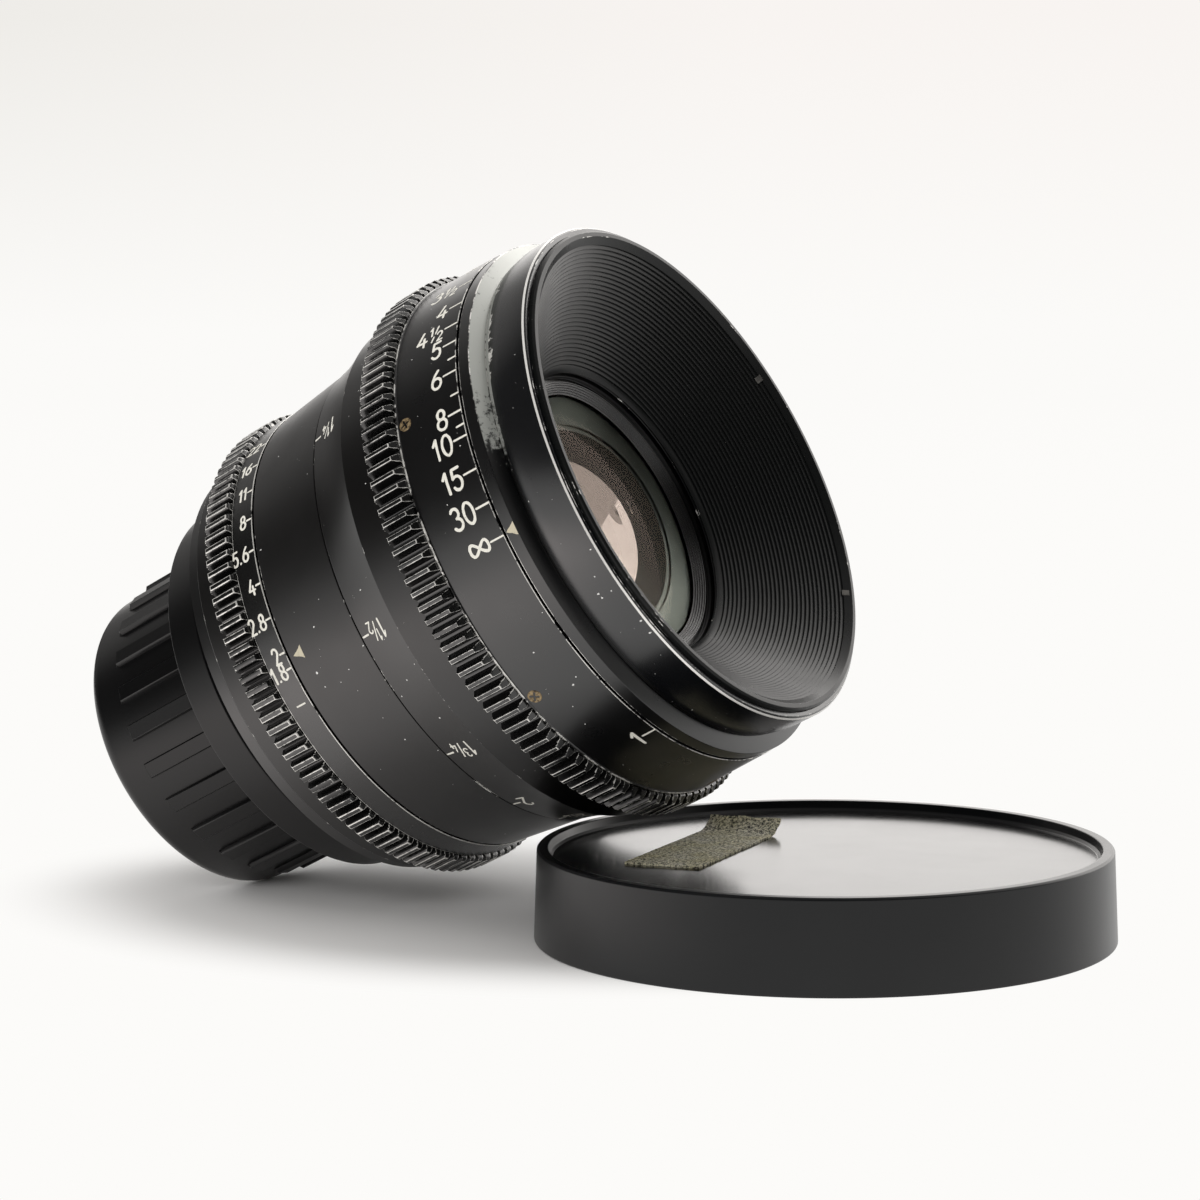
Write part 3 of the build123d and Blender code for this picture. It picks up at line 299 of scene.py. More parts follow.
@dataclass(frozen=True)
class MouldedPlastic:
    """Glass-filled nylon or ABS from a spark-eroded mould: an even satin skin with a fine grit."""

    name: str
    colour: str = "080809"
    roughness: float = 0.3
    grit_mm: float = 0.6
    grit_strength: float = 0.1
    edge_wear: float = 0.0
    shine: float = 0.5

    def material(self) -> bpy.types.Material:
        """Build the finish.

        Returns:
            The material, made once for each name.
        """
        known = bpy.data.materials.get(self.name)
        if known:
            return known
        material, tree = blank_material(self.name)
        place = add_node(tree, "ShaderNodeTexCoord").outputs["Object"]
        wear = add_node(tree, "ShaderNodeAttribute", attribute_name="wear").outputs["Fac"]
        grit = add_node(
            tree, "ShaderNodeTexNoise", {"Vector": place, "Scale": per_metre(self.grit_mm), "Detail": 3.0}
        )
        smudge = add_node(
            tree, "ShaderNodeTexNoise", {"Vector": place, "Scale": per_metre(14.0), "Detail": 4.0, "Roughness": 0.6}
        )
        sheen = add_node(
            tree,
            "ShaderNodeMapRange",
            {"Value": smudge.outputs["Fac"], "To Min": self.roughness - 0.04, "To Max": self.roughness + 0.05},
        )
        rubbed = add_node(tree, "ShaderNodeMath", {0: wear, 1: grit.outputs["Fac"]}, operation="MULTIPLY")
        pale = add_node(
            tree,
            "ShaderNodeMapRange",
            {"Value": rubbed.outputs[0], "From Min": 0.35, "From Max": 0.6, "To Max": self.edge_wear},
        )
        colour = add_node(
            tree, "ShaderNodeMix", {0: pale.outputs[0], 6: linear(self.colour), 7: linear("8E8D8A")}, data_type="RGBA"
        )
        bump = add_node(
            tree,
            "ShaderNodeBump",
            {"Height": grit.outputs["Fac"], "Strength": self.grit_strength, "Distance": 0.06 * MM},
        )
        shader = add_node(
            tree,
            "ShaderNodeBsdfPrincipled",
            {
                "Base Color": colour.outputs[2],
                "Roughness": sheen.outputs[0],
                "IOR": 1.5,
                "Specular IOR Level": self.shine,
                "Normal": bump.outputs[0],
            },
        )
        add_node(tree, "ShaderNodeOutputMaterial", {"Surface": shader.outputs[0]})
        return material


@dataclass(frozen=True)
class EngravingPaint:
    """Enamel wiped into cut numerals: matt, a little dirty and uneven."""

    name: str
    colour: str = "E9E6DC"
    dirt: str = "8B867A"
    dirt_share: float = 0.45

    def material(self) -> bpy.types.Material:
        """Build the finish.

        Returns:
            The material, made once for each name.
        """
        known = bpy.data.materials.get(self.name)
        if known:
            return known
        material, tree = blank_material(self.name)
        place = add_node(tree, "ShaderNodeTexCoord").outputs["Object"]
        patches = add_node(
            tree, "ShaderNodeTexNoise", {"Vector": place, "Scale": per_metre(0.7), "Detail": 4.0, "Roughness": 0.7}
        )
        dirty = add_node(
            tree,
            "ShaderNodeMapRange",
            {"Value": patches.outputs["Fac"], "From Min": 0.55, "From Max": 0.75, "To Max": self.dirt_share},
        )
        colour = add_node(
            tree, "ShaderNodeMix", {0: dirty.outputs[0], 6: linear(self.colour), 7: linear(self.dirt)}, data_type="RGBA"
        )
        bump = add_node(
            tree, "ShaderNodeBump", {"Height": patches.outputs["Fac"], "Strength": 0.4, "Distance": 0.05 * MM}
        )
        shader = add_node(
            tree,
            "ShaderNodeBsdfPrincipled",
            {"Base Color": colour.outputs[2], "Roughness": 0.6, "Normal": bump.outputs[0]},
        )
        add_node(tree, "ShaderNodeOutputMaterial", {"Surface": shader.outputs[0]})
        return material


@dataclass(frozen=True)
class PlainMetal:
    """Steel or brass with a soft turned shine and a patchy tarnish; grime makes it less metallic."""

    name: str
    metal: str
    tarnish: str
    roughness: float = 0.35
    patch_mm: float = 1.5
    metallic: float = 1.0

    def material(self) -> bpy.types.Material:
        """Build the finish.

        Returns:
            The material, made once for each name.
        """
        known = bpy.data.materials.get(self.name)
        if known:
            return known
        material, tree = blank_material(self.name)
        place = add_node(tree, "ShaderNodeTexCoord").outputs["Object"]
        patches = add_node(
            tree, "ShaderNodeTexNoise", {"Vector": place, "Scale": per_metre(self.patch_mm), "Detail": 5.0}
        )
        share = add_node(
            tree, "ShaderNodeMapRange", {"Value": patches.outputs["Fac"], "From Min": 0.4, "From Max": 0.65}
        )
        colour = add_node(
            tree, "ShaderNodeMix", {0: share.outputs[0], 6: linear(self.metal), 7: linear(self.tarnish)}, data_type="RGBA"
        )
        bump = add_node(
            tree, "ShaderNodeBump", {"Height": patches.outputs["Fac"], "Strength": 0.15, "Distance": 0.05 * MM}
        )
        shader = add_node(
            tree,
            "ShaderNodeBsdfPrincipled",
            {
                "Base Color": colour.outputs[2],
                "Metallic": self.metallic,
                "Roughness": self.roughness,
                "Normal": bump.outputs[0],
            },
        )
        add_node(tree, "ShaderNodeOutputMaterial", {"Surface": shader.outputs[0]})
        return material


@dataclass(frozen=True)
class CoatedGlass:
    """Polished optical glass: it bends what lies behind it, and its coating mirrors a little, tinted."""

    name: str
    body: str = "F4F6F2"
    mirror_tint: str = "F1D9CF"
    mirrored: float = 0.03
    ior: float = 1.52

    def material(self) -> bpy.types.Material:
        """Build the finish.

        Returns:
            The material, made once for each name.
        """
        known = bpy.data.materials.get(self.name)
        if known:
            return known
        material, tree = blank_material(self.name)
        place = add_node(tree, "ShaderNodeTexCoord").outputs["Object"]
        dust = add_node(
            tree, "ShaderNodeTexNoise", {"Vector": place, "Scale": per_metre(0.8), "Detail": 4.0, "Roughness": 0.75}
        )
        motes = add_node(
            tree, "ShaderNodeMapRange", {"Value": dust.outputs["Fac"], "From Min": 0.78, "From Max": 0.84, "To Max": 0.05}
        )
        bent = add_node(
            tree, "ShaderNodeBsdfRefraction", {"Color": linear(self.body), "Roughness": 0.0, "IOR": self.ior}
        )
        mirror = add_node(tree, "ShaderNodeBsdfGlossy", {"Color": linear(self.mirror_tint), "Roughness": 0.02})
        clean = add_node(tree, "ShaderNodeMixShader", {0: self.mirrored, 1: bent.outputs[0], 2: mirror.outputs[0]})
        mote = add_node(tree, "ShaderNodeBsdfDiffuse", {"Color": linear("D8D6D0")})
        shader = add_node(tree, "ShaderNodeMixShader", {0: motes.outputs[0], 1: clean.outputs[0], 2: mote.outputs[0]})
        add_node(tree, "ShaderNodeOutputMaterial", {"Surface": shader.outputs[0]})
        return material


@dataclass(frozen=True)
class ClothTape:
    """Black cloth tape whose face has picked up pale and yellowish grit."""

    name: str = "gritty_cloth_tape"
    cloth: str = "141310"
    grit: str = "D2C88E"
    ash: str = "E4E1D8"
    grit_mm: float = 0.55

    def material(self) -> bpy.types.Material:
        """Build the finish.

        Returns:
            The material, made once for each name.
        """
        known = bpy.data.materials.get(self.name)
        if known:
            return known
        material, tree = blank_material(self.name)
        place = add_node(tree, "ShaderNodeTexCoord").outputs["Object"]
        grains = add_node(
            tree, "ShaderNodeTexNoise", {"Vector": place, "Scale": per_metre(self.grit_mm), "Detail": 6.0, "Roughness": 0.85}
        )
        patches = add_node(
            tree, "ShaderNodeTexNoise", {"Vector": place, "Scale": per_metre(5.0), "Detail": 2.0}
        )
        tone = add_node(
            tree, "ShaderNodeMix", {0: patches.outputs["Fac"], 6: linear(self.grit), 7: linear(self.ash)}, data_type="RGBA"
        )
        share = add_node(
            tree, "ShaderNodeMapRange", {"Value": grains.outputs["Fac"], "From Min": 0.46, "From Max": 0.54}
        )
        colour = add_node(
            tree, "ShaderNodeMix", {0: share.outputs[0], 6: linear(self.cloth), 7: tone.outputs[2]}, data_type="RGBA"
        )
        bump = add_node(
            tree, "ShaderNodeBump", {"Height": grains.outputs["Fac"], "Strength": 0.8, "Distance": 0.2 * MM}
        )
        shader = add_node(
            tree,
            "ShaderNodeBsdfPrincipled",
            {"Base Color": colour.outputs[2], "Roughness": 0.75, "Normal": bump.outputs[0]},
        )
        add_node(tree, "ShaderNodeOutputMaterial", {"Surface": shader.outputs[0]})
        return material


# Satin black skin of the barrel: near black, with soft broad sheens and hardly a bare edge.
BARREL_SKIN = AnodisedAluminium("black_anodised_barrel", "070606", roughness=0.34, edge_wear=0.1, speck_share=0.02, ior=1.62)
# Smoother skin on the teeth, rubbed through on crests and ends, so they glint as broken white lines.
GEAR_SKIN = AnodisedAluminium("black_anodised_teeth", "060606", roughness=0.26, edge_wear=1.0, speck_share=0.01)
# Skirt of the focus ring: as black as the teeth but with its edges whole.
SKIRT_SKIN = AnodisedAluminium("black_anodised_skirt", "070606", roughness=0.3, edge_wear=0.12, speck_share=0.015, ior=1.62)
# Scale ring: black, a little bluish in the light, with thin worn edges.
SCALE_SKIN = AnodisedAluminium("black_anodised_scale_ring", "060607", roughness=0.28, edge_wear=0.62)
# Name ring: the shiniest black, it shows bluish and mirrors the room in bands.
FRONT_SKIN = AnodisedAluminium("black_anodised_front_ring", "06070A", roughness=0.24, edge_wear=0.45)
# Hood: matt dye over cut ribs, so each crest draws a soft grey line.
HOOD_SKIN = AnodisedAluminium(
    "matt_black_ribbed_hood", "131414", roughness=0.28, edge_wear=0.0, speck_share=0.004, ior=1.5, shine=0.22
)
# Inside walls: dead black, they swallow what light gets in.
INNER_SKIN = AnodisedAluminium("black_anodised_inside", "050505", roughness=0.36, edge_wear=0.1, speck_share=0.0)
# Steps of the front nut: glossier, so they draw fine bright rings.
NUT_SKIN = AnodisedAluminium("black_anodised_nut", "060606", roughness=0.15, speck_share=0.004, shine=0.9)
# Bevel rubbed to the metal by hands on its upper side, with a painted highlight in the same place: a silver band that
# breaks off into black.
WORN_AND_HIGHLIT_BEVEL = AnodisedAluminium(
    "worn_black_anodised_bevel_with_painted_highlight", "060607", "A6A8A3", roughness=0.28, edge_wear=1.0, speck_share=0.01, rub_mm=12.0
)
# Bare turned rim: one thin bright line round the mouth.
BRIGHT_RIM = BareAluminium("aluminium_bright_rim", "F4F2EE", rest_share=-0.2, roughness=0.3, metallic=0.3)
# Bared metal in a knock: small and pale, it catches the eye as a white fleck.
CHIP_METAL = EngravingPaint("bared_aluminium_knock", "E6E5E2", "A8A6A2", 0.5)
# Moulded caps: deep black satin, evenly soft in the light.
REAR_CAP_SKIN = MouldedPlastic("moulded_black_rear_cap", "050506", roughness=0.3, shine=0.34)
FRONT_CAP_SKIN = MouldedPlastic("moulded_black_front_cap", "0D0E10", roughness=0.3, grit_strength=0.05, shine=0.42)
# The cap's face is polished, so it mirrors the bright backdrop almost white.
FRONT_CAP_FACE = MouldedPlastic("polished_black_cap_face", "0A0A0B", roughness=0.15, grit_strength=0.012)
# Enamels: chalky and a little soiled, they read as hand-filled numerals.
MARK_WHITE = EngravingPaint("white_enamel_numerals", "F1EEE4")
MARK_CREAM = EngravingPaint("cream_enamel_index", "CFC6AE", "7E7460", 0.7)
# Brass: the shim glints gold, the screws are dull and brown.
SHIM_BRASS = PlainMetal("brass_shim", "C69A4E", "7A5C2C")
SCREW_BRASS = PlainMetal("worn_brass_screw", "A08A66", "4A3C2A", 0.45, 0.5, metallic=0.3)
# Steel: the mount is blackened and only glints on its edges, the rest is plain grey.
MOUNT_STEEL = AnodisedAluminium("blackened_steel_mount", "0A0A0B", "8F8D8A", roughness=0.32, edge_wear=0.2)
INNER_STEEL = PlainMetal("plain_steel_inside", "85837F", "5A5856", 0.4, 2.0)
# Iris blades: matt black leaves with a thin shine.
BLADE_COAT = AnodisedAluminium("matt_black_iris_blade", "0A0A0A", roughness=0.5, edge_wear=0.1, speck_share=0.0)
# Front glass lets the eye in; the second glass mirrors the backdrop as a pale rosy disc.
FRONT_GLASS = CoatedGlass("coated_front_glass", mirrored=0.012)
SECOND_GLASS = CoatedGlass("coated_second_glass", mirror_tint="F4DADC", mirrored=0.29)
# Matt black ring on the glass's outer zone, the deepest black of all, with no shine: painted shade that stands in for
# the dark hood mirrored round the pale disc.
GLASS_RING_PAINTED_SHADE = AnodisedAluminium(
    "matt_black_glass_ring_painted_shade", "070606", roughness=0.6, edge_wear=0.0, speck_share=0.0, tooling_mm=4.0, shine=0.1
)
INNER_GLASS = CoatedGlass("coated_inner_glass", "E4EAE4", "D8C8E0", mirrored=0.02)
# Tape: black cloth with yellow-grey grit stuck in it.
TAPE_FACE = ClothTape()


@dataclass(frozen=True)
class LensAxis:
    """The lens's own coordinates: along its axis, out from it, and round it from its upper side."""

    seat: Vector
    forward: Vector

    @property
    def upward(self) -> Vector:
        """Direction out of the axis that points up."""
        return Vector((-self.forward.z, 0, self.forward.x)).normalized()

    @property
    def sideways(self) -> Vector:
        """Direction out of the axis that points to the scales."""
        return self.forward.cross(self.upward)

    def out(self, turn: float) -> Vector:
        """Return the direction out of the axis at a turn."""
        angle = math.radians(turn)
        return self.upward * math.cos(angle) + self.sideways * math.sin(angle)

    def place(self, x: float, r: float, turn: float) -> Vector:
        """Return the point in the frame at a place on the lens."""
        return self.seat + (self.forward * x + self.out(turn) * r) * MM

    def turn_of(self, point: Vector) -> float:
        """Return the turn of a point in the frame."""
        spot = point - self.seat
        return math.degrees(math.atan2(spot.dot(self.sideways), spot.dot(self.upward)))


@dataclass(frozen=True)
class UprightAxis:
    """The front cap's own coordinates: up its axis, out from it, and round it."""

    foot: Vector

    def place(self, x: float, r: float, turn: float) -> Vector:
        """Return the point in the frame at a height, radius and turn."""
        angle = math.radians(turn)
        return self.foot + Vector((r * math.cos(angle), r * math.sin(angle), x)) * MM


Axis = LensAxis | UprightAxis


@dataclass
class Mould:
    """Collects points and faces, with how far each point's edge is worn, and makes a piece of them."""

    name: str
    points: list[Vector] = field(default_factory=list)
    wear: list[float] = field(default_factory=list)
    faces: list[tuple[int, ...]] = field(default_factory=list)
    dress: list[int] = field(default_factory=list)

    def point(self, place: Vector, wear: float = 0.0) -> int:
        """Add a point and return its number."""
        self.points.append(place)
        self.wear.append(wear)
        return len(self.points) - 1

    def face(self, corners: Sequence[int], finish: int = 0) -> None:
        """Add a face, leaving out corners that repeat."""
        kept = tuple(c for k, c in enumerate(corners) if c != corners[k - 1])
        if len(kept) > 2:
            self.faces.append(kept)
            self.dress.append(finish)

    def bridge(self, first: Sequence[int], second: Sequence[int], closed: bool = True, finish: int = 0) -> None:
        """Join two rows of points with faces.

        Args:
            first: Point numbers of one row.
            second: Point numbers of the next row, as many.
            closed: Whether the rows are rings.
            finish: Material number of the faces.
        """
        count = len(first)
        for k in range(count if closed else count - 1):
            n = (k + 1) % count
            self.face((first[k], first[n], second[n], second[k]), finish)

    def piece(
        self, body: str, slot: Slot, finishes: Sequence, replaced: Sequence[str] = (), sharp: float = 38.0
    ) -> bpy.types.Object:
        """Make the object, dress it and say what it rides on.

        Args:
            body: CAD body that carries it.
            slot: Material slot of the record; not used.
            finishes: Finish of each material number.
            replaced: CAD nodes that it stands for.
            sharp: Angle past which an edge is shaded as sharp.

        Returns:
            The finished object.
        """
        mesh = bpy.data.meshes.new(self.name)
        mesh.from_pydata(self.points, [], self.faces)
        layer = mesh.attributes.new("wear", "FLOAT", "POINT")
        layer.data.foreach_set("value", self.wear)
        for finish in finishes:
            mesh.materials.append(finish.material())
        mesh.polygons.foreach_set("material_index", self.dress)
        mesh.polygons.foreach_set("use_smooth", [True] * len(mesh.polygons))
        piece = bpy.data.objects.new(self.name, mesh)
        bpy.context.scene.collection.objects.link(piece)
        turn_faces_out(piece)
        mesh.set_sharp_from_angle(angle=math.radians(sharp))
        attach(piece, body)
        if replaced:
            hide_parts(*replaced)
        log.info("%s: %d faces", self.name, len(self.faces))
        return piece


def turn_faces_out(piece: bpy.types.Object) -> None:
    """Make every closed shell of a piece face outwards."""
    shell = bmesh.new()
    shell.from_mesh(piece.data)
    bmesh.ops.remove_doubles(shell, verts=shell.verts, dist=1e-7)
    bmesh.ops.recalc_face_normals(shell, faces=shell.faces)
    shell.to_mesh(piece.data)
    shell.free()


def soften(outline: Sequence[Point], radius: float = 0.12, land: float = 0.1) -> list[Marked]:
    """Round the corners of a closed outline and mark those that stick out.

    Args:
        outline: Corners as places along the axis and radii.
        radius: Radius of the rounding, in millimetres.
        land: Width of the worn strip beside each corner.

    Returns:
        Points with a share of wear from 0 to 1.
    """
    count = len(outline)
    spun = sum(outline[k - 1][0] * outline[k][1] - outline[k][0] * outline[k - 1][1] for k in range(count))
    points: list[Marked] = []
    for k in range(count):
        before = Vector(outline[k - 1])
        here = Vector(outline[k])
        after = Vector(outline[(k + 1) % count])
        back, ahead = before - here, after - here
        back_length, ahead_length = back.length, ahead.length
        back.normalize()
        ahead.normalize()
        bend = math.pi - back.angle(ahead, math.pi)
        if bend < math.radians(12) or here.y < 1e-6:
            points.append((here.x, here.y, 0.0))
            continue
        leaves = (-back).cross(ahead) * spun > 0
        cut = min(radius * math.tan(min(bend, 2.6) / 2), 0.3 * back_length, 0.3 * ahead_length)
        worn = 1.0 if leaves else 0.0
        if back_length > 3 * (cut + land):
            points.append((*(here + back * (cut + land)), 0.0))
        start, end = here + back * cut, here + ahead * cut
        for step in range(5):
            t = step / 4
            spot = start * (1 - t) ** 2 + here * (2 * t * (1 - t)) + end * t**2
            points.append((spot.x, spot.y, worn))
        if ahead_length > 3 * (cut + land):
            points.append((*(here + ahead * (cut + land)), 0.0))
    return points


def turn_outline(
    mould: Mould,
    axis: Axis,
    outline: Sequence[Marked],
    steps: int = 240,
    finish_of: Callable[[float, float], int] | None = None,
) -> None:
    """Turn a closed outline round an axis.

    Args:
        mould: Mould that gets the faces.
        axis: Axis to turn about.
        outline: Points along, out and worn; a point on the axis becomes a pole.
        steps: Steps round the axis.
        finish_of: Gives the material number from the middle of a stretch.
    """
    rings: list[list[int]] = []
    for x, r, wear in outline:
        if r < 1e-6:
            rings.append([mould.point(axis.place(x, 0, 0), wear)] * steps)
        else:
            rings.append([mould.point(axis.place(x, r, 360 / steps * k), wear) for k in range(steps)])
    for k, ring in enumerate(rings):
        after = (k + 1) % len(rings)
        if outline[k][1] < 1e-6 and outline[after][1] < 1e-6:
            continue
        middle = ((outline[k][0] + outline[after][0]) / 2, (outline[k][1] + outline[after][1]) / 2)
        mould.bridge(ring, rings[after], finish=finish_of(*middle) if finish_of else 0)


def turned_piece(
    name: str,
    axis: Axis,
    outline: Sequence[Point],
    body: str,
    slot: Slot,
    finishes: Sequence,
    replaced: Sequence[str] = (),
    radius: float = 0.12,
    steps: int = 240,
    finish_of: Callable[[float, float], int] | None = None,
) -> bpy.types.Object:
    """Turn an outline with softened corners into a piece; see soften, turn_outline and Mould.piece."""
    mould = Mould(name)
    turn_outline(mould, axis, soften(outline, radius), steps, finish_of)
    return mould.piece(body, slot, finishes, replaced)


@dataclass(frozen=True)
class ToothForm:
    """Cross-section of a gear tooth and how its ends are cut down.

    A half tooth runs from the gap to the crest as shares of the pitch, of the depth, and of wear.
    Each end drop is a place in from the end and how far a cone there cuts the crest down.
    """

    teeth: int
    module: float = 0.8
    half: tuple[Marked, ...] = (
        (-0.5, 0.0, 0.0), (-0.4, 0.04, 0.0), (-0.3, 0.3, 0.0), (-0.2, 0.8, 0.0), (-0.165, 0.93, 0.2),
        (-0.13, 0.99, 1.0), (-0.08, 1.0, 0.1),
    )
    rear_drops: tuple[Point, ...] = ((0.0, 0.75), (0.18, 0.3), (0.5, 0.0))
    front_drops: tuple[Point, ...] = ((0.0, 0.75), (0.18, 0.3), (0.5, 0.0))
    edge_share: float = 0.045

    @property
    def pitch_r(self) -> float:
        """Radius at which the teeth are counted."""
        return self.module * self.teeth / 2

    @property
    def tip_r(self) -> float:
        """Radius over the teeth."""
        return self.pitch_r + self.module

    @property
    def root_r(self) -> float:
        """Radius between the teeth."""
        return self.pitch_r - 1.25 * self.module

    def cut_half(self, top: float) -> list[Marked]:
        """Return half a tooth cut off at a height.

        Args:
            top: Height left, as a share of the depth.

        Returns:
            As many points as the half tooth has, those above the cut moved onto it.
        """
        kept = [spot for spot in self.half if spot[1] <= top]
        over = len(self.half) - len(kept)
        if not over:
            return list(self.half)
        low, high = kept[-1], self.half[len(kept)]
        share = low[0] + (high[0] - low[0]) * (top - low[1]) / (high[1] - low[1])
        inner = share + self.edge_share
        moved = [(share, top, 1.0)]
        moved += [(inner + (-0.02 - inner) * k / max(over - 1, 1), top, 0.12) for k in range(over - 1)]
        return kept + moved

    def ring(self, drop: float) -> list[Marked]:
        """Return turns in degrees, radii and wear of the toothed ring with its crests cut down."""
        depth = self.tip_r - self.root_r
        half = self.cut_half(1 - drop / depth)
        mirrored = [(-share, height, wear) for share, height, wear in reversed(half[1:])]
        points = []
        for tooth in range(self.teeth):
            for share, height, wear in (*half, *mirrored):
                points.append(((tooth + share) * 360 / self.teeth, self.root_r + depth * height, wear))
        return points


def cut_teeth(mould: Mould, axis: Axis, form: ToothForm, start: float, end: float, bore_r: float) -> None:
    """Cut a ring of teeth.

    Args:
        mould: Mould that gets the faces.
        axis: Axis of the ring.
        form: Shape of the teeth.
        start: Place of the rear end.
        end: Place of the front end.
        bore_r: Inner radius.
    """
    inset = 0.14
    stations = [(start + x, drop, x == 0) for x, drop in form.rear_drops]
    stations += [(stations[-1][0] + inset, 0.0, False), (end - form.front_drops[-1][0] - inset, 0.0, False)]
    stations += [(end - x, drop, x == 0) for x, drop in reversed(form.front_drops)]
    rings = []
    for k, (x, drop, outermost) in enumerate(stations):
        crest_edge = drop == 0 and k in (len(form.rear_drops) - 1, len(form.rear_drops) + 2)
        ring = []
        for turn, r, wear in form.ring(drop):
            raised = (r - form.root_r) / (form.tip_r - form.root_r)
            shown = max(wear, 0.9) if crest_edge and raised > 0.97 else wear
            shown = max(wear, 0.75 * raised) if outermost else shown
            ring.append(mould.point(axis.place(x, r, turn), shown))
        rings.append(ring)
    turns = [turn for turn, _, _ in form.ring(0.0)]
    for x in (end, start):
        rings.append([mould.point(axis.place(x, bore_r, turn)) for turn in turns])
    for k, ring in enumerate(rings):
        mould.bridge(ring, rings[(k + 1) % len(rings)])


def bow(cx: float, cy: float, rx: float, ry: float, start: float, end: float, steps: int = 14) -> list[Point]:
    """Return points on an arc of an ellipse, from one angle to another."""
    angles = [math.radians(start + (end - start) * k / steps) for k in range(steps + 1)]
    return [(cx + rx * math.cos(a), cy + ry * math.sin(a)) for a in angles]


def figure_eight(width: float, height: float, steps: int = 32) -> list[Point]:
    """Return a lying figure eight, one long and half as high as its middle allows."""
    turns = [math.tau * k / steps for k in range(steps + 1)]
    return [(width * (0.5 + 0.5 * math.sin(t)), 0.5 + height * math.sin(2 * t)) for t in turns]


class Stylus:
    """Cutter's numerals: each sign is strokes in a box one high, with the width it takes."""

    SIGNS: dict[str, tuple[list[list[Point]], float]] = {
        "0": ([bow(0.29, 0.5, 0.26, 0.5, 90, 450, 20)], 0.58),
        "1": ([[(0.04, 0.74), (0.19, 0.97)], [(0.22, 1.0), (0.22, 0.5), (0.22, 0.0)]], 0.34),
        "2": ([bow(0.27, 0.73, 0.24, 0.27, 165, -30) + [(0.07, 0.02)], [(0.05, 0.0), (0.53, 0.0)]], 0.56),
        "3": ([bow(0.26, 0.76, 0.21, 0.24, 150, -80, 10), bow(0.26, 0.27, 0.26, 0.27, 80, -150)], 0.55),
        "4": ([[(0.34, 1.0), (0.04, 0.32)], [(0.02, 0.3), (0.58, 0.3)], [(0.42, 0.56), (0.42, 0.0)]], 0.6),
        "5": ([[(0.5, 1.0), (0.13, 1.0)], [(0.12, 0.97), (0.08, 0.56)], bow(0.26, 0.32, 0.26, 0.32, 130, -150)], 0.56),
        "6": ([[(0.42, 1.0), (0.22, 0.78), (0.08, 0.52), (0.03, 0.34)], bow(0.29, 0.29, 0.26, 0.29, 170, 530, 18)], 0.58),
        "8": ([bow(0.28, 0.76, 0.2, 0.24, -90, 270, 16), bow(0.28, 0.27, 0.26, 0.27, 90, 450, 16)], 0.56),
        "∞": ([figure_eight(1.05, 0.27)], 1.05),
        ".": ([[(0.08, 0.02), (0.1, 0.05)]], 0.2),
    }
    FRACTIONS: dict[str, tuple[str, str]] = {"½": ("1", "2"), "¼": ("1", "4"), "¾": ("3", "4")}
    gap = 0.16
    small = 0.6
    light = 0.72

    def sign(self, sign: str) -> tuple[list[tuple[list[Point], float]], float]:
        """Return the strokes with their weights, and the width, of a sign or a built-up fraction."""
        if sign not in self.FRACTIONS:
            shapes, width = self.SIGNS[sign]
            return [(shape, 1.0) for shape in shapes], width
        over, under = self.FRACTIONS[sign]
        top, top_width = self.SIGNS[over]
        low, low_width = self.SIGNS[under]
        strokes = [[(x * self.small, 1.06 + (y - 1) * self.small) for x, y in line] for line in top]
        step = (top_width + 0.1) * self.small
        strokes.append([(step - 0.1, 0.02), (step + 0.22, 0.98)])
        strokes += [[(step + 0.2 + x * self.small, -0.06 + y * self.small) for x, y in line] for line in low]
        return [(stroke, self.light) for stroke in strokes], step + 0.2 + low_width * self.small

    def line(self, text: str) -> tuple[list[tuple[list[Point], float]], float]:
        """Lay signs side by side.

        Args:
            text: Digits, a point, an endless sign or fractions.

        Returns:
            Strokes in a box one high with their weights, and the width of the line.
        """
        strokes: list[tuple[list[Point], float]] = []
        pen = 0.0
        for sign in text:
            shapes, width = self.sign(sign)
            strokes += [([(x + pen, y) for x, y in shape], weight) for shape, weight in shapes]
            pen += width + self.gap
        return strokes, pen - self.gap


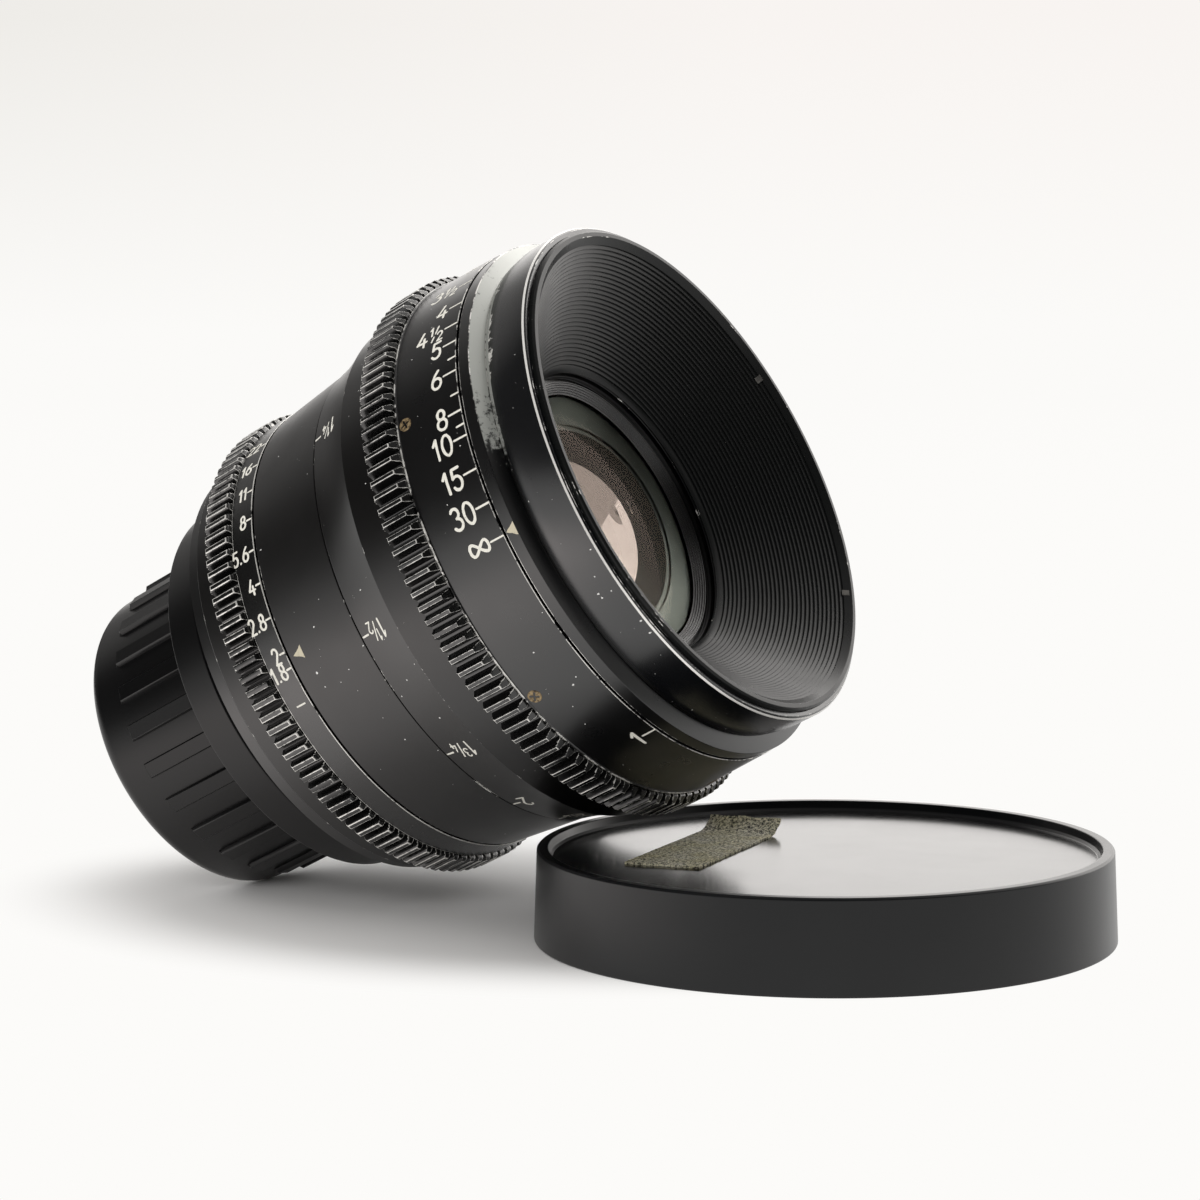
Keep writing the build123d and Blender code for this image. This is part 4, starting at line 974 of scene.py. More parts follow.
@dataclass
class Engraver:
    """Fills strokes with enamel on a band of the lens."""

    axis: LensAxis
    mould: Mould
    radius_at: Callable[[float], float]
    stroke: float = 0.46
    proud: float = 0.03
    sunk: float = 0.12
    shake: float = 0.025
    seed: int = 7

    def __post_init__(self) -> None:
        """Start the hand's shake from its seed."""
        self.hand = random.Random(self.seed)

    def fill(self, line: Sequence[Point], x: float, turn: float, reading: Reading, stroke: float | None = None) -> None:
        """Fill one stroke.

        Args:
            line: Points in millimetres along the text and up it.
            x: Place of the text's origin along the lens.
            turn: Turn of the text's origin.
            reading: Way the text runs.
            stroke: Width, if not the engraver's own.
        """
        half = (stroke or self.stroke) / 2
        path = [Vector(p) for p in line]
        spots: list[tuple[Vector, Vector]] = []
        for k, spot in enumerate(path):
            before, after = path[max(k - 1, 0)], path[min(k + 1, len(path) - 1)]
            way = (after - before).normalized()
            side = Vector((-way.y, way.x))
            if 0 < k < len(path) - 1:
                first, second = (spot - before).normalized(), (after - spot).normalized()
                side /= max(math.cos(first.angle(second, 0) / 2), 0.6)
            spots.append((spot, side))
        first_way = (path[1] - path[0]).normalized()
        last_way = (path[-1] - path[-2]).normalized()
        closed = (path[0] - path[-1]).length < 1e-6
        rows: list[tuple[Vector, Vector]] = []
        if not closed:
            rows += [(path[0] - first_way * half * c, Vector((-first_way.y, first_way.x)) * s) for c, s in ((0.95, 0.3), (0.6, 0.8))]
        rows += spots
        if not closed:
            rows += [(path[-1] + last_way * half * c, Vector((-last_way.y, last_way.x)) * s) for c, s in ((0.6, 0.8), (0.95, 0.3))]
        self.ribbon(rows, half, x, turn, reading, closed)

    def ribbon(
        self, rows: Sequence[tuple[Vector, Vector]], half: float, x: float, turn: float, reading: Reading, closed: bool
    ) -> None:
        """Lay a closed ribbon of enamel along rows of centre points and sides.

        Args:
            rows: Centre and side direction of each crossing.
            half: Half the ribbon's width.
            x: Place of the text's origin along the lens.
            turn: Turn of the text's origin.
            reading: Way the text runs.
            closed: Whether the ribbon is a loop.
        """
        last = len(rows) - 1
        shaken = []
        for centre, side in rows[: last if closed else last + 1]:
            wide = half * (1 + self.hand.uniform(-0.12, 0.12))
            nudge = Vector((self.hand.uniform(-1, 1), self.hand.uniform(-1, 1))) * self.shake
            shaken.append((centre + side * wide + nudge, centre - side * wide + nudge))
        loops: list[list[int]] = [[], [], [], []]
        for left, right in shaken:
            for k, (spot, lift) in enumerate(
                ((left, self.proud), (right, self.proud), (right, -self.sunk), (left, -self.sunk))
            ):
                along = x + spot.x * reading.value
                r = self.radius_at(along)
                lean = turn - math.degrees(spot.y / r) * reading.value
                loops[k].append(self.mould.point(self.axis.place(along, r + lift, lean)))
        for k in range(4):
            self.mould.bridge(loops[k], loops[(k + 1) % 4], closed=closed)
        if not closed:
            self.mould.face([loop[0] for loop in loops])
            self.mould.face([loop[-1] for loop in loops])

    def write(self, text: str, end_x: float, turn: float, height: float, reading: Reading, narrow: float = 1.0) -> None:
        """Write a line of numerals that ends beside its tick.

        Args:
            text: Numerals to write.
            end_x: Place along the lens where the line ends.
            turn: Turn of the middle of the line.
            height: Height of the numerals.
            reading: Way the line runs.
            narrow: Share of the natural width.
        """
        strokes, width = Stylus().line(text)
        start = end_x - width * height * narrow * reading.value
        for stroke, weight in strokes:
            spots = [(px * height * narrow, (py - 0.5) * height) for px, py in stroke]
            self.fill(spots, start, turn, reading, self.stroke * weight)

    def tick(self, start_x: float, end_x: float, turn: float, stroke: float = 0.34) -> None:
        """Cut a straight tick along the lens."""
        low, high = sorted((start_x, end_x))
        self.fill([(0.0, 0.0), (high - low, 0.0)], low, turn, Reading.FORWARD, stroke)

    def arrow(self, tip_x: float, base_x: float, turn: float, width: float) -> None:
        """Fill a triangle that points along the lens."""
        reading = Reading.FORWARD
        rows = []
        for share in (0.02, 0.25, 0.5, 0.75, 1.0):
            rows.append((Vector(((base_x - tip_x) * share, 0.0)), Vector((0.0, 1.0)) * share * width))
        self.ribbon(rows, 0.5, tip_x, turn, reading, closed=False)


@dataclass
class Mechanism:
    """Parts behind the outer shell: they keep the CAD shape and get real finishes."""

    frame: dict
    finishes: dict[str, object] = field(
        default_factory=lambda: {
            "pl_mount": MOUNT_STEEL,
            "mount_screws": INNER_STEEL,
            "iris_drive_screw": INNER_STEEL,
            "focus_keys": INNER_STEEL,
            "front_element": FRONT_GLASS,
        }
    )

    def dress(self) -> None:
        """Give every CAD node that stays in view its finish."""
        for name, node in self.frame["nodes"].items():
            finish = self.finishes.get(name)
            if finish is None and name.endswith("_element"):
                finish = INNER_GLASS
            elif finish is None and name.startswith("iris_blade"):
                finish = BLADE_COAT
            elif finish is None:
                finish = INNER_SKIN
            node.data.materials.clear()
            node.data.materials.append(finish.material())
        log.info("dressed %d CAD nodes", len(self.frame["nodes"]))


@dataclass
class RearCap:
    """Moulded cup over the mount, with grip bars and a flange."""

    axis: LensAxis
    end: float = -31.3
    floor: float = 2.3
    body_r: float = 30.0
    bore_r: float = 27.3
    corner: float = 3.0
    flange_back: float = -3.0
    flange_front: float = 4.1
    flange_back_r: float = 37.0
    flange_front_r: float = 37.6
    flange_edge: float = 0.4
    lug_bore_r: float = 34.3
    bars: int = 25
    bar_width: float = 2.9
    bar_height: float = 1.0
    bar_start: float = -23.3
    bar_slope: float = 0.8
    first_turn: float = 0.0

    def outline(self) -> list[Point]:
        """Return the cup's outline, its end corner rounded."""
        centre = (self.end + self.corner, self.body_r - self.corner)
        corner = bow(centre[0], centre[1], self.corner, self.corner, 180, 90, 10)
        return [
            (self.end, 0.0),
            *corner,
            (self.flange_back, self.body_r),
            (self.flange_back, self.flange_back_r),
            (self.flange_front - self.flange_edge, self.flange_front_r),
            (self.flange_front, self.flange_front_r - self.flange_edge),
            (self.flange_front, self.lug_bore_r),
            (-0.3, self.lug_bore_r),
            (-0.3, self.bore_r),
            (self.end + self.floor, self.bore_r),
            (self.end + self.floor, 0.0),
        ]

    def add_bar(self, mould: Mould, turn: float) -> None:
        """Add one grip bar with softened edges."""
        half = math.degrees(self.bar_width / 2 / self.body_r)
        profile = (
            (-half * 1.08, -0.35, 0.0),
            (-half, self.bar_height * 0.78, 0.7),
            (-half * 0.86, self.bar_height, 1.0),
            (half * 0.86, self.bar_height, 1.0),
            (half, self.bar_height * 0.78, 0.7),
            (half * 1.08, -0.35, 0.0),
        )
        stations = (
            (self.bar_start - 0.05, 0.0),
            (self.bar_start + self.bar_slope * 0.7, 0.75),
            (self.bar_start + self.bar_slope, 1.0),
            (self.flange_back + 0.2, 1.0),
        )
        rows = []
        for x, share in stations:
            rows.append(
                [
                    mould.point(self.axis.place(x, self.body_r + (h * share if h > 0 else h), turn + lean), wear)
                    for lean, h, wear in profile
                ]
            )
        for first, second in zip(rows, rows[1:]):
            mould.bridge(first, second)
        mould.face(rows[0])
        mould.face(rows[-1])

    def build(self) -> None:
        """Build the cap."""
        mould = Mould("rear_cap_shell")
        turn_outline(mould, self.axis, soften(self.outline(), 0.3))
        for k in range(self.bars):
            self.add_bar(mould, self.first_turn + 360 / self.bars * k)
        mould.piece("rear_cap", Slot.PLASTIC, [REAR_CAP_SKIN], ["rear_cap"])


@dataclass
class RearHousing:
    """Plain ring in front of the mount, with the brass shim's edge behind it."""

    axis: LensAxis

    def build(self) -> None:
        """Build the ring and the shim."""
        turned_piece(
            "housing_ring",
            self.axis,
            [
                (9.7, 30.0), (9.7, 42.3), (10.0, 42.6), (14.1, 42.6), (14.1, 40.2), (29.0, 40.2),
                (29.0, 38.2), (15.0, 38.2), (15.0, 30.0),
            ],
            "barrel",
            Slot.ANODISED,
            [BARREL_SKIN],
            ["rear_housing"],
        )
        turned_piece(
            "brass_shim_edge",
            self.axis,
            [(9.4, 33.5), (9.4, 41.5), (9.7, 41.5), (9.7, 33.5)],
            "barrel",
            Slot.BRASS,
            [SHIM_BRASS],
            ["mount_shim"],
            radius=0.04,
        )


@dataclass
class IrisRing:
    """Iris ring with its teeth and its stop scale."""

    axis: LensAxis
    rear: float = 14.5
    gear_front: float = 20.3
    front: float = 25.3
    band_r: float = 44.6
    bore_r: float = 40.5
    open_turn: float = 93.7
    stop_turn: float = 8.45
    numeral: float = 2.75
    stops: tuple[tuple[str, float], ...] = (
        ("22", 7.2), ("16", 6.2), ("11", 5.2), ("8", 4.2), ("5.6", 3.2), ("4", 2.2), ("2.8", 1.2), ("2", 0.2), ("1.8", -0.24),
    )

    def build(self) -> None:
        """Build the ring, then its scale on both sides."""
        mould = Mould("iris_ring_shell")
        rounded = (
            (-0.5, 0.0, 0.0), (-0.41, 0.05, 0.0), (-0.33, 0.35, 0.0), (-0.26, 0.74, 0.0), (-0.215, 0.9, 0.25),
            (-0.17, 0.975, 1.0), (-0.1, 1.0, 0.3),
        )
        form = ToothForm(112, half=rounded)
        cut_teeth(mould, self.axis, form, self.rear, self.gear_front, self.bore_r)
        band = [
            (self.gear_front, self.bore_r), (self.gear_front, form.root_r + 0.35), (self.gear_front + 0.25, self.band_r),
            (self.front, self.band_r), (self.front, self.bore_r),
        ]
        turn_outline(mould, self.axis, soften(band, 0.1))
        mould.piece("iris_ring", Slot.ANODISED, [GEAR_SKIN], ["iris_ring"])
        self.scale()

    def scale(self) -> None:
        """Cut the stops into the band, once for each side."""
        mould = Mould("iris_scale")
        engraver = Engraver(self.axis, mould, lambda x: self.band_r, stroke=0.4, seed=11)
        for side in (0.0, 180.0):
            for text, steps in self.stops:
                turn = self.open_turn - self.stop_turn * steps + side
                engraver.tick(self.front - 0.25, self.front - 1.15, turn)
                engraver.write(text, self.front - 1.45, turn, self.numeral, Reading.FORWARD, 0.8)
            engraver.tick(self.front - 2.9, self.front - 1.2, self.open_turn + 10.3 + side)
        mould.piece("iris_ring", Slot.ANODISED, [MARK_WHITE])


@dataclass
class MainBarrel:
    """Outer shell between the iris and the focus ring, with the iris index."""

    axis: LensAxis
    rear: float = 25.7
    front: float = 41.5
    rear_r: float = 44.5
    front_r: float = 46.1

    def radius_at(self, x: float) -> float:
        """Return the shell's radius at a place along it."""
        return self.rear_r + (self.front_r - self.rear_r) * (x - self.rear) / (self.front - self.rear)

    def build(self) -> None:
        """Build the barrel and its marks."""
        turned_piece(
            "main_barrel_shell",
            self.axis,
            [
                (self.rear, 40.25), (self.rear, self.rear_r), (self.front, self.front_r), (self.front, 43.7), (49.5, 43.7),
                (49.5, 41.7), (32.0, 41.7), (32.0, 34.8), (73.1, 34.8), (73.1, 32.0), (29.0, 32.0), (29.0, 40.25),
            ],
            "barrel",
            Slot.ANODISED,
            [BARREL_SKIN],
            ["main_barrel"],
        )
        mould = Mould("iris_index")
        engraver = Engraver(self.axis, mould, self.radius_at, seed=3)
        for side in (0.0, 180.0):
            engraver.arrow(self.rear + 0.9, self.rear + 3.1, 93.7 + side, 2.3)
        mould.piece("barrel", Slot.ANODISED, [MARK_CREAM])
        mould = Mould("focus_index_behind")
        engraver = Engraver(self.axis, mould, self.radius_at, seed=4)
        engraver.arrow(self.front - 0.6, self.front - 2.8, 273.7, 2.0)
        mould.piece("barrel", Slot.ANODISED, [MARK_CREAM])


@dataclass
class FocusRing:
    """Focus ring: flared skirt, teeth, scale ring, its screws and two distance scales."""

    axis: LensAxis
    rear: float = 41.8
    flare: float = 50.7
    gear_rear: float = 57.2
    gear_front: float = 64.1
    front: float = 77.0
    rear_r: float = 46.3
    skirt_r: float = 49.2
    scale_rear_r: float = 50.2
    scale_front_r: float = 49.7
    infinity_turn: float = 93.7
    behind_turn: float = 273.7
    spread: float = 204.2
    offset: float = 0.34
    numeral: float = 3.7
    marks: tuple[tuple[str, float], ...] = (
        ("1", 1.0), ("1¼", 1.25), ("1½", 1.5), ("1¾", 1.75), ("2", 2.0), ("2¼", 2.25), ("2½", 2.5), ("3", 3.0),
        ("3½", 3.5), ("4", 4.0), ("4½", 4.5), ("5", 5.0), ("6", 6.0), ("8", 8.0), ("10", 10.0), ("15", 15.0), ("30", 30.0),
    )
    minor: tuple[float, ...] = (1.125, 1.375, 1.625, 1.875, 2.75, 5.5, 7.0, 9.0)

    def below_infinity(self, distance: float) -> float:
        """Return how far the ring turns from infinity to a distance in feet."""
        return self.spread / (distance - self.offset)

    def skirt(self, steps: int = 10) -> list[Point]:
        """Return the slightly hollow flare of the skirt."""
        points = []
        for k in range(steps + 1):
            t = k / steps
            sag = 0.35 * 4 * t * (1 - t)
            points.append((self.rear + (self.flare - self.rear) * t, self.rear_r + (self.skirt_r - self.rear_r) * t - sag))
        return points

    def skirt_r_at(self, x: float) -> float:
        """Return the skirt's radius at a place along it."""
        t = min(max((x - self.rear) / (self.flare - self.rear), 0.0), 1.0)
        return self.rear_r + (self.skirt_r - self.rear_r) * t - 0.35 * 4 * t * (1 - t)

    def scale_r_at(self, x: float) -> float:
        """Return the scale ring's radius at a place along it."""
        share = (x - self.gear_front) / (self.front - self.gear_front)
        return self.scale_rear_r + (self.scale_front_r - self.scale_rear_r) * share

    def build(self) -> None:
        """Build the ring, its scale ring, screws and scales."""
        cone = ((0.0, 1.1), (0.25, 0.85), (0.5, 0.6), (0.8, 0.3), (1.05, 0.0))
        form = ToothForm(128, front_drops=cone)
        mould = Mould("focus_gear_shell")
        cut_teeth(mould, self.axis, form, self.gear_rear, self.gear_front - 0.35, 47.0)
        outline = [
            *self.skirt(), (self.gear_rear + 0.3, self.skirt_r), (self.gear_rear + 0.3, 47.0), (53.95, 47.0),
            (self.flare, 44.0), (self.rear, 44.0),
        ]
        turn_outline(mould, self.axis, soften(outline, 0.12), finish_of=lambda x, r: 1)
        mould.piece("focus_ring", Slot.ANODISED, [GEAR_SKIN, SKIRT_SKIN], ["focus_gear_ring"])
        turned_piece(
            "focus_scale_shell",
            self.axis,
            [
                (self.gear_front - 0.35, 47.0), (self.gear_front - 0.35, 50.35), (self.gear_front, 50.5),
                (self.gear_front + 0.2, self.scale_rear_r), (self.front, self.scale_front_r), (self.front, 47.0),
            ],
            "focus_ring",
            Slot.ANODISED,
            [SCALE_SKIN],
            ["focus_scale_ring"],
            radius=0.1,
        )
        self.scales()
        self.screws()

    def scales(self) -> None:
        """Cut the front scale and the scale for the other side."""
        mould = Mould("focus_scale")
        engraver = Engraver(self.axis, mould, self.scale_r_at, stroke=0.5, seed=21)
        tick_front = self.front - 0.15
        for text, distance in (*self.marks, ("∞", math.inf)):
            turn = self.infinity_turn - (0 if distance == math.inf else self.below_infinity(distance))
            engraver.tick(tick_front, tick_front - 2.5, turn)
            engraver.write(text, tick_front - 3.0, turn, self.numeral, Reading.FORWARD, 0.95)
        for distance in self.minor:
            engraver.tick(tick_front, tick_front - 1.4, self.infinity_turn - self.below_infinity(distance))
        mould.piece("focus_ring", Slot.ANODISED, [MARK_WHITE])
        mould = Mould("focus_scale_behind")
        engraver = Engraver(self.axis, mould, self.skirt_r_at, stroke=0.36, seed=22)
        tick_rear = self.rear + 0.3
        for text, distance in (*self.marks, ("∞", math.inf)):
            turn = self.behind_turn - (0 if distance == math.inf else self.below_infinity(distance))
            engraver.tick(tick_rear, tick_rear + 1.3, turn)
            engraver.write(text, tick_rear + 1.8, turn, 3.3, Reading.BACKWARD, 0.85)
        mould.piece("focus_ring", Slot.ANODISED, [MARK_WHITE])

    def screws(self, x: float = 65.6, first: float = 63.8, count: int = 6, head_r: float = 1.25) -> None:
        """Set the countersunk cross-head screws into the scale ring."""
        mould = Mould("scale_ring_screws")
        top_r = self.scale_r_at(x) + 0.07
        for k in range(count):
            turn = first + 360 / count * k
            centre = self.axis.place(x, top_r, turn)
            out, along = self.axis.out(turn), self.axis.forward
            across = out.cross(along)
            spin = math.radians(37 * k + 20)
            rows = []
            for ring_r, depth in (*((k * 0.09, 0.0) for k in range(13)), (head_r - 0.08, 0.0), (head_r, 0.1), (head_r, 1.2)):
                row = []
                for step in range(64):
                    angle = math.tau * step / 64
                    a, b = ring_r * math.cos(angle - spin), ring_r * math.sin(angle - spin)
                    cut = 0.3 if min(abs(a), abs(b)) < 0.16 and ring_r < 0.85 else 0.0
                    spot = along * math.cos(angle) * ring_r + across * math.sin(angle) * ring_r - out * (depth + cut)
                    row.append(mould.point(centre + spot * MM, 1.0 if ring_r > 1 else 0.2))
                rows.append(row)
            for inner, outer in zip(rows, rows[1:]):
                mould.bridge(inner, outer)
            mould.face(rows[-1])
        mould.piece("focus_ring", Slot.BRASS, [SCREW_BRASS], ["focus_screws"])


@dataclass
class FrontEnd:
    """Index ring with its rubbed bevel, pale as worn metal and as a painted highlight, name ring with its bright rim,
    and the ribbed hood.
    """

    axis: LensAxis
    index_rear: float = 77.4
    bevel_rear: float = 79.6
    ring_rear: float = 81.0
    face: float = 90.0
    lip: float = 91.0
    index_r: float = 49.5
    ring_rear_r: float = 46.9
    ring_r: float = 47.5
    lip_r: float = 46.2
    rim: float = 0.5
    mouth_r: float = 45.05
    throat: float = 73.4
    throat_r: float = 27.0
    ribs: int = 29
    rib_depth: float = 0.42
    notches: tuple[Point, ...] = ((89.75, -67.4), (90.3, -127.8))
    # Where the bevel's pale band ends along the lens, and its turn and fade round the upper side: worn metal and a
    # painted highlight.
    worn_highlight_end: float = 81.9
    worn_highlight_turn: float = 100.0
    worn_highlight_fade: float = 45.0

    def rub(self, mould: Mould) -> None:
        """Wear the bevel's upper side, less and less towards its flanks; the pale band is worn metal and a painted
        highlight where the light falls.
        """
        for k, point in enumerate(mould.points):
            x = (point - self.axis.seat).dot(self.axis.forward) / MM
            if self.bevel_rear - 0.1 < x < self.worn_highlight_end:
                share = (self.worn_highlight_turn - abs(self.axis.turn_of(point))) / self.worn_highlight_fade
                mould.wear[k] = min(max(share, 0.0), 1.0)

    def build(self) -> None:
        """Build the three rings and the focus index."""
        self.index_ring()
        self.front_ring()
        self.hood()

    def index_ring(self) -> None:
        """Build the index ring with its bevel, and the focus index on it."""
        mould = Mould("index_ring_shell")
        outline = [
            (73.1, 32.05), (73.1, 44.7), (69.5, 44.7), (69.5, 46.7), (self.index_rear, 46.7), (self.index_rear, self.index_r),
            (self.bevel_rear, self.index_r), (self.ring_rear - 0.25, 47.3), (self.ring_rear, self.ring_rear_r - 0.25),
            (self.ring_rear, 44.7), (75.3, 44.7), (75.3, 32.05),
        ]
        turn_outline(
            mould,
            self.axis,
            soften(outline, 0.09),
            finish_of=lambda x, r: 1 if x > self.bevel_rear + 0.1 and r > self.ring_rear_r else 0,
        )
        self.rub(mould)
        mould.piece("barrel", Slot.ANODISED, [SCALE_SKIN, WORN_AND_HIGHLIT_BEVEL], ["index_ring"])
        mould = Mould("focus_index")
        engraver = Engraver(self.axis, mould, lambda x: self.index_r, shake=0.05, seed=5)
        engraver.arrow(self.index_rear + 0.15, self.bevel_rear - 0.1, 93.5, 2.4)
        mould.piece("barrel", Slot.ANODISED, [MARK_CREAM])

    def front_ring(self) -> None:
        """Build the name ring; its front edge is bright metal."""

        half = self.rim / 2

        def finish_of(x: float, r: float) -> int:
            """Bare metal on the outer half of the chamfer, rubbed skin with a painted highlight beside the bevel, black
            elsewhere.
            """
            if self.face - self.rim - 0.02 < x < self.face - half and r > self.ring_r - half - 0.02:
                return 1
            return 2 if x < self.worn_highlight_end and r > self.ring_rear_r - 0.3 else 0

        mould = Mould("front_ring_shell")
        cone_r = self.ring_rear_r + (self.ring_r - self.ring_rear_r) * (self.worn_highlight_end - self.ring_rear) / 3.5
        outline = [
            (77.0, 43.4), (77.0, 44.65), (self.ring_rear, 44.65), (self.ring_rear, self.ring_rear_r - 0.25),
            (self.ring_rear + 0.25, self.ring_rear_r), (self.worn_highlight_end - 0.02, cone_r), (84.5, self.ring_r),
            (self.face - self.rim, self.ring_r), (self.face - half, self.ring_r - half), (self.face, self.ring_r - self.rim),
            (self.face, self.lip_r + 0.05), (84.95, self.lip_r + 0.05), (84.95, 43.4),
        ]
        turn_outline(mould, self.axis, soften(outline, 0.05), finish_of=finish_of, steps=320)
        self.rub(mould)
        mould.piece("barrel", Slot.ANODISED, [FRONT_SKIN, BRIGHT_RIM, WORN_AND_HIGHLIT_BEVEL], ["front_ring"])

    def hood(self) -> None:
        """Build the hood, its cone cut into fine ribs."""
        land = 1.1
        start, end = self.throat + 0.55, self.lip - land
        slope = (self.mouth_r - self.throat_r) / (self.lip - self.throat)
        pitch = (end - start) / self.ribs
        ribs: list[Marked] = []
        for k in range(self.ribs):
            x = end - pitch * k
            r = self.mouth_r - slope * (self.lip - x)
            for back, deeper in ((0.0, 0.0), (0.06, 0.55), (0.22, 0.95), (0.36, 1.0), (0.56, 0.72), (0.86, 0.0)):
                ribs.append((x - pitch * back, r - slope * pitch * back + self.rib_depth * deeper, 0.0))
        outline = [
            (self.throat - 0.5, self.throat_r), (self.throat - 0.5, 29.8), (self.throat, 29.8),
            (85.0, 29.8 + slope * 11.6), (85.0, self.lip_r), (self.lip - 0.35, self.lip_r),
            (self.lip, self.lip_r - 0.35), (self.lip, self.mouth_r), (end + 0.1, self.mouth_r - slope * (land - 0.1)),
        ]
        marked = soften(outline, 0.12)
        throat = [(self.throat + 0.3, self.throat_r + 0.25, 0.0), (self.throat + 0.1, self.throat_r, 1.0)]
        mould = Mould("hood_shell")
        turn_outline(mould, self.axis, [*marked, *ribs, *throat], steps=320)
        mould.piece("barrel", Slot.ANODISED, [HOOD_SKIN], ["front_hood"], sharp=24.0)
        mould = Mould("hood_mouth_notches")
        for x, turn in self.notches:
            rows = []
            for lift in (0.0, 0.5):
                at = self.mouth_r - slope * (self.lip - x) - 0.06 + lift
                rows.append(
                    [mould.point(self.axis.place(x + a, at + slope * a, turn + b), 0.0) for a, b in ((-0.55, -0.8), (0.35, -0.8), (0.35, 0.8), (-0.55, 0.8))]
                )
            mould.bridge(rows[0], rows[1])
            mould.face(rows[0])
            mould.face(rows[1])
        mould.piece("barrel", Slot.STEEL, [INNER_STEEL])


@dataclass
class FrontOptics:
    """Nut and cell round the front element, stepped with fine rings, and the mirroring second element."""

    axis: LensAxis
    nut_r: float = 26.9
    nut_bore_r: float = 24.2
    nut_rear: float = 70.1
    nut_front: float = 71.8
    rings: int = 6
    glass_rear: float = 63.0
    glass_front: float = 65.5
    glass_r: float = 19.5
    clear_r: float = 13.4
    black_r: float = 17.6
    front_bulge: float = -2.4
    rear_bulge: float = -2.4

    def build(self) -> None:
        """Build the nut and the second element."""
        self.nut()
        self.second_element()

    def nut(self) -> None:
        """Build the nut with its fine steps."""
        steps: list[Point] = [(self.nut_rear, self.nut_bore_r)]
        for k in range(self.rings):
            x = self.nut_rear + (self.nut_front - self.nut_rear) * (k + 1) / self.rings
            r = self.nut_bore_r + 2.0 * k / self.rings
            steps += [(x, r), (x, r + 2.0 / self.rings)]
        steps += [(self.nut_front, self.nut_r), (self.nut_rear, self.nut_r)]
        mould = Mould("front_nut_rings")
        turn_outline(mould, self.axis, [(x, r, 0.0) for x, r, _ in soften(steps, 0.09)])
        mould.piece("barrel", Slot.ANODISED, [NUT_SKIN], ["front_nut"])

    def second_element(self, steps: int = 12) -> None:
        """Build the second element, hollow in front: clear in its middle, its outer zone black as painted shade."""

        def face(x: float, bulge: float) -> list[Point]:
            """Return a bulged face from the axis to the edge."""
            radii = [self.glass_r * k / steps for k in range(steps + 1)] + [self.clear_r, self.black_r]
            return [(x + bulge * (1 - (r / self.glass_r) ** 2), r) for r in sorted(radii)]

        outline = [*face(self.glass_front, self.front_bulge), *reversed(face(self.glass_rear, self.rear_bulge))]
        mould = Mould("second_glass")
        turn_outline(
            mould,
            self.axis,
            [(x, r, 0.0) for x, r in outline],
            steps=160,
            finish_of=lambda x, r: 0 if r < self.clear_r else 1 if r < self.black_r else 2,
        )
        mould.piece("barrel", Slot.GLASS, [SECOND_GLASS, GLASS_RING_PAINTED_SHADE, INNER_SKIN], ["second_element"])


@dataclass
class Chips:
    """Small knocks that bare the metal: those seen on the lens, and a seeded scatter of finer ones.

    Each noted knock is a place along the lens, a turn, a size and how long it is along the lens.
    """

    axis: LensAxis
    radius_at: Callable[[float], float]
    name: str
    body: str
    noted: tuple[tuple[float, float, float, float], ...] = ()
    scattered: tuple[float, float, int] = (0.0, 0.0, 0)
    turns: Point = (20.0, 180.0)
    seed: int = 40

    def knock(self, mould: Mould, hand: random.Random, x: float, turn: float, size: float, long: float) -> None:
        """Add one knock: a ragged little shard that lies in the surface."""
        corners = 9
        low, high = [], []
        for k in range(corners):
            angle = math.tau * k / corners
            reach = size / 2 * hand.uniform(0.6, 1.25)
            along, across = reach * long * math.cos(angle), reach * math.sin(angle)
            r = self.radius_at(x + along)
            lean = turn + math.degrees(across / r)
            low.append(mould.point(self.axis.place(x + along, r - 0.08, lean)))
            high.append(mould.point(self.axis.place(x + along, r + 0.012, lean)))
        mould.bridge(low, high)
        mould.face(low)
        mould.face(high)

    def build(self) -> None:
        """Add the noted knocks and the scatter."""
        hand = random.Random(self.seed)
        mould = Mould(self.name)
        for x, turn, size, long in self.noted:
            self.knock(mould, hand, x, turn, size, long)
        start, end, count = self.scattered
        for _ in range(count):
            size = 0.07 + 0.16 * hand.random() ** 3
            self.knock(mould, hand, hand.uniform(start, end), hand.uniform(*self.turns), size, hand.uniform(0.6, 1.8))
        mould.piece(self.body, Slot.ANODISED, [CHIP_METAL])


@dataclass
class FrontCap:
    """Front cap that lies on the table with its mouth down."""

    axis: UprightAxis
    base_r: float = 50.2
    top_r: float = 49.6
    height: float = 15.8
    face: float = 14.0
    bore_r: float = 47.8
    rim: float = 2.0
    plate: float = 2.2
    step: float = 0.5

    def build(self) -> None:
        """Build the cap."""
        inner = self.top_r - self.rim

        def finish_of(x: float, r: float) -> int:
            """Polish on the sunken face, satin elsewhere."""
            return 1 if x > self.face - 0.05 and r < inner - 0.35 - self.step + 0.05 and x < self.face + 0.05 else 0

        turned_piece(
            "front_cap_shell",
            self.axis,
            [
                (self.face - self.plate, 0.0), (self.face - self.plate, self.bore_r), (0.0, self.bore_r), (0.0, self.base_r),
                (self.height - 0.35, self.top_r), (self.height, self.top_r - 0.35), (self.height, inner),
                (self.face + self.step, inner - 0.35), (self.face, inner - 0.35 - self.step), (self.face, 0.0),
            ],
            "front_cap",
            Slot.PLASTIC,
            [FRONT_CAP_SKIN, FRONT_CAP_FACE],
            ["front_cap"],
            radius=0.25,
            steps=288,
            finish_of=finish_of,
        )


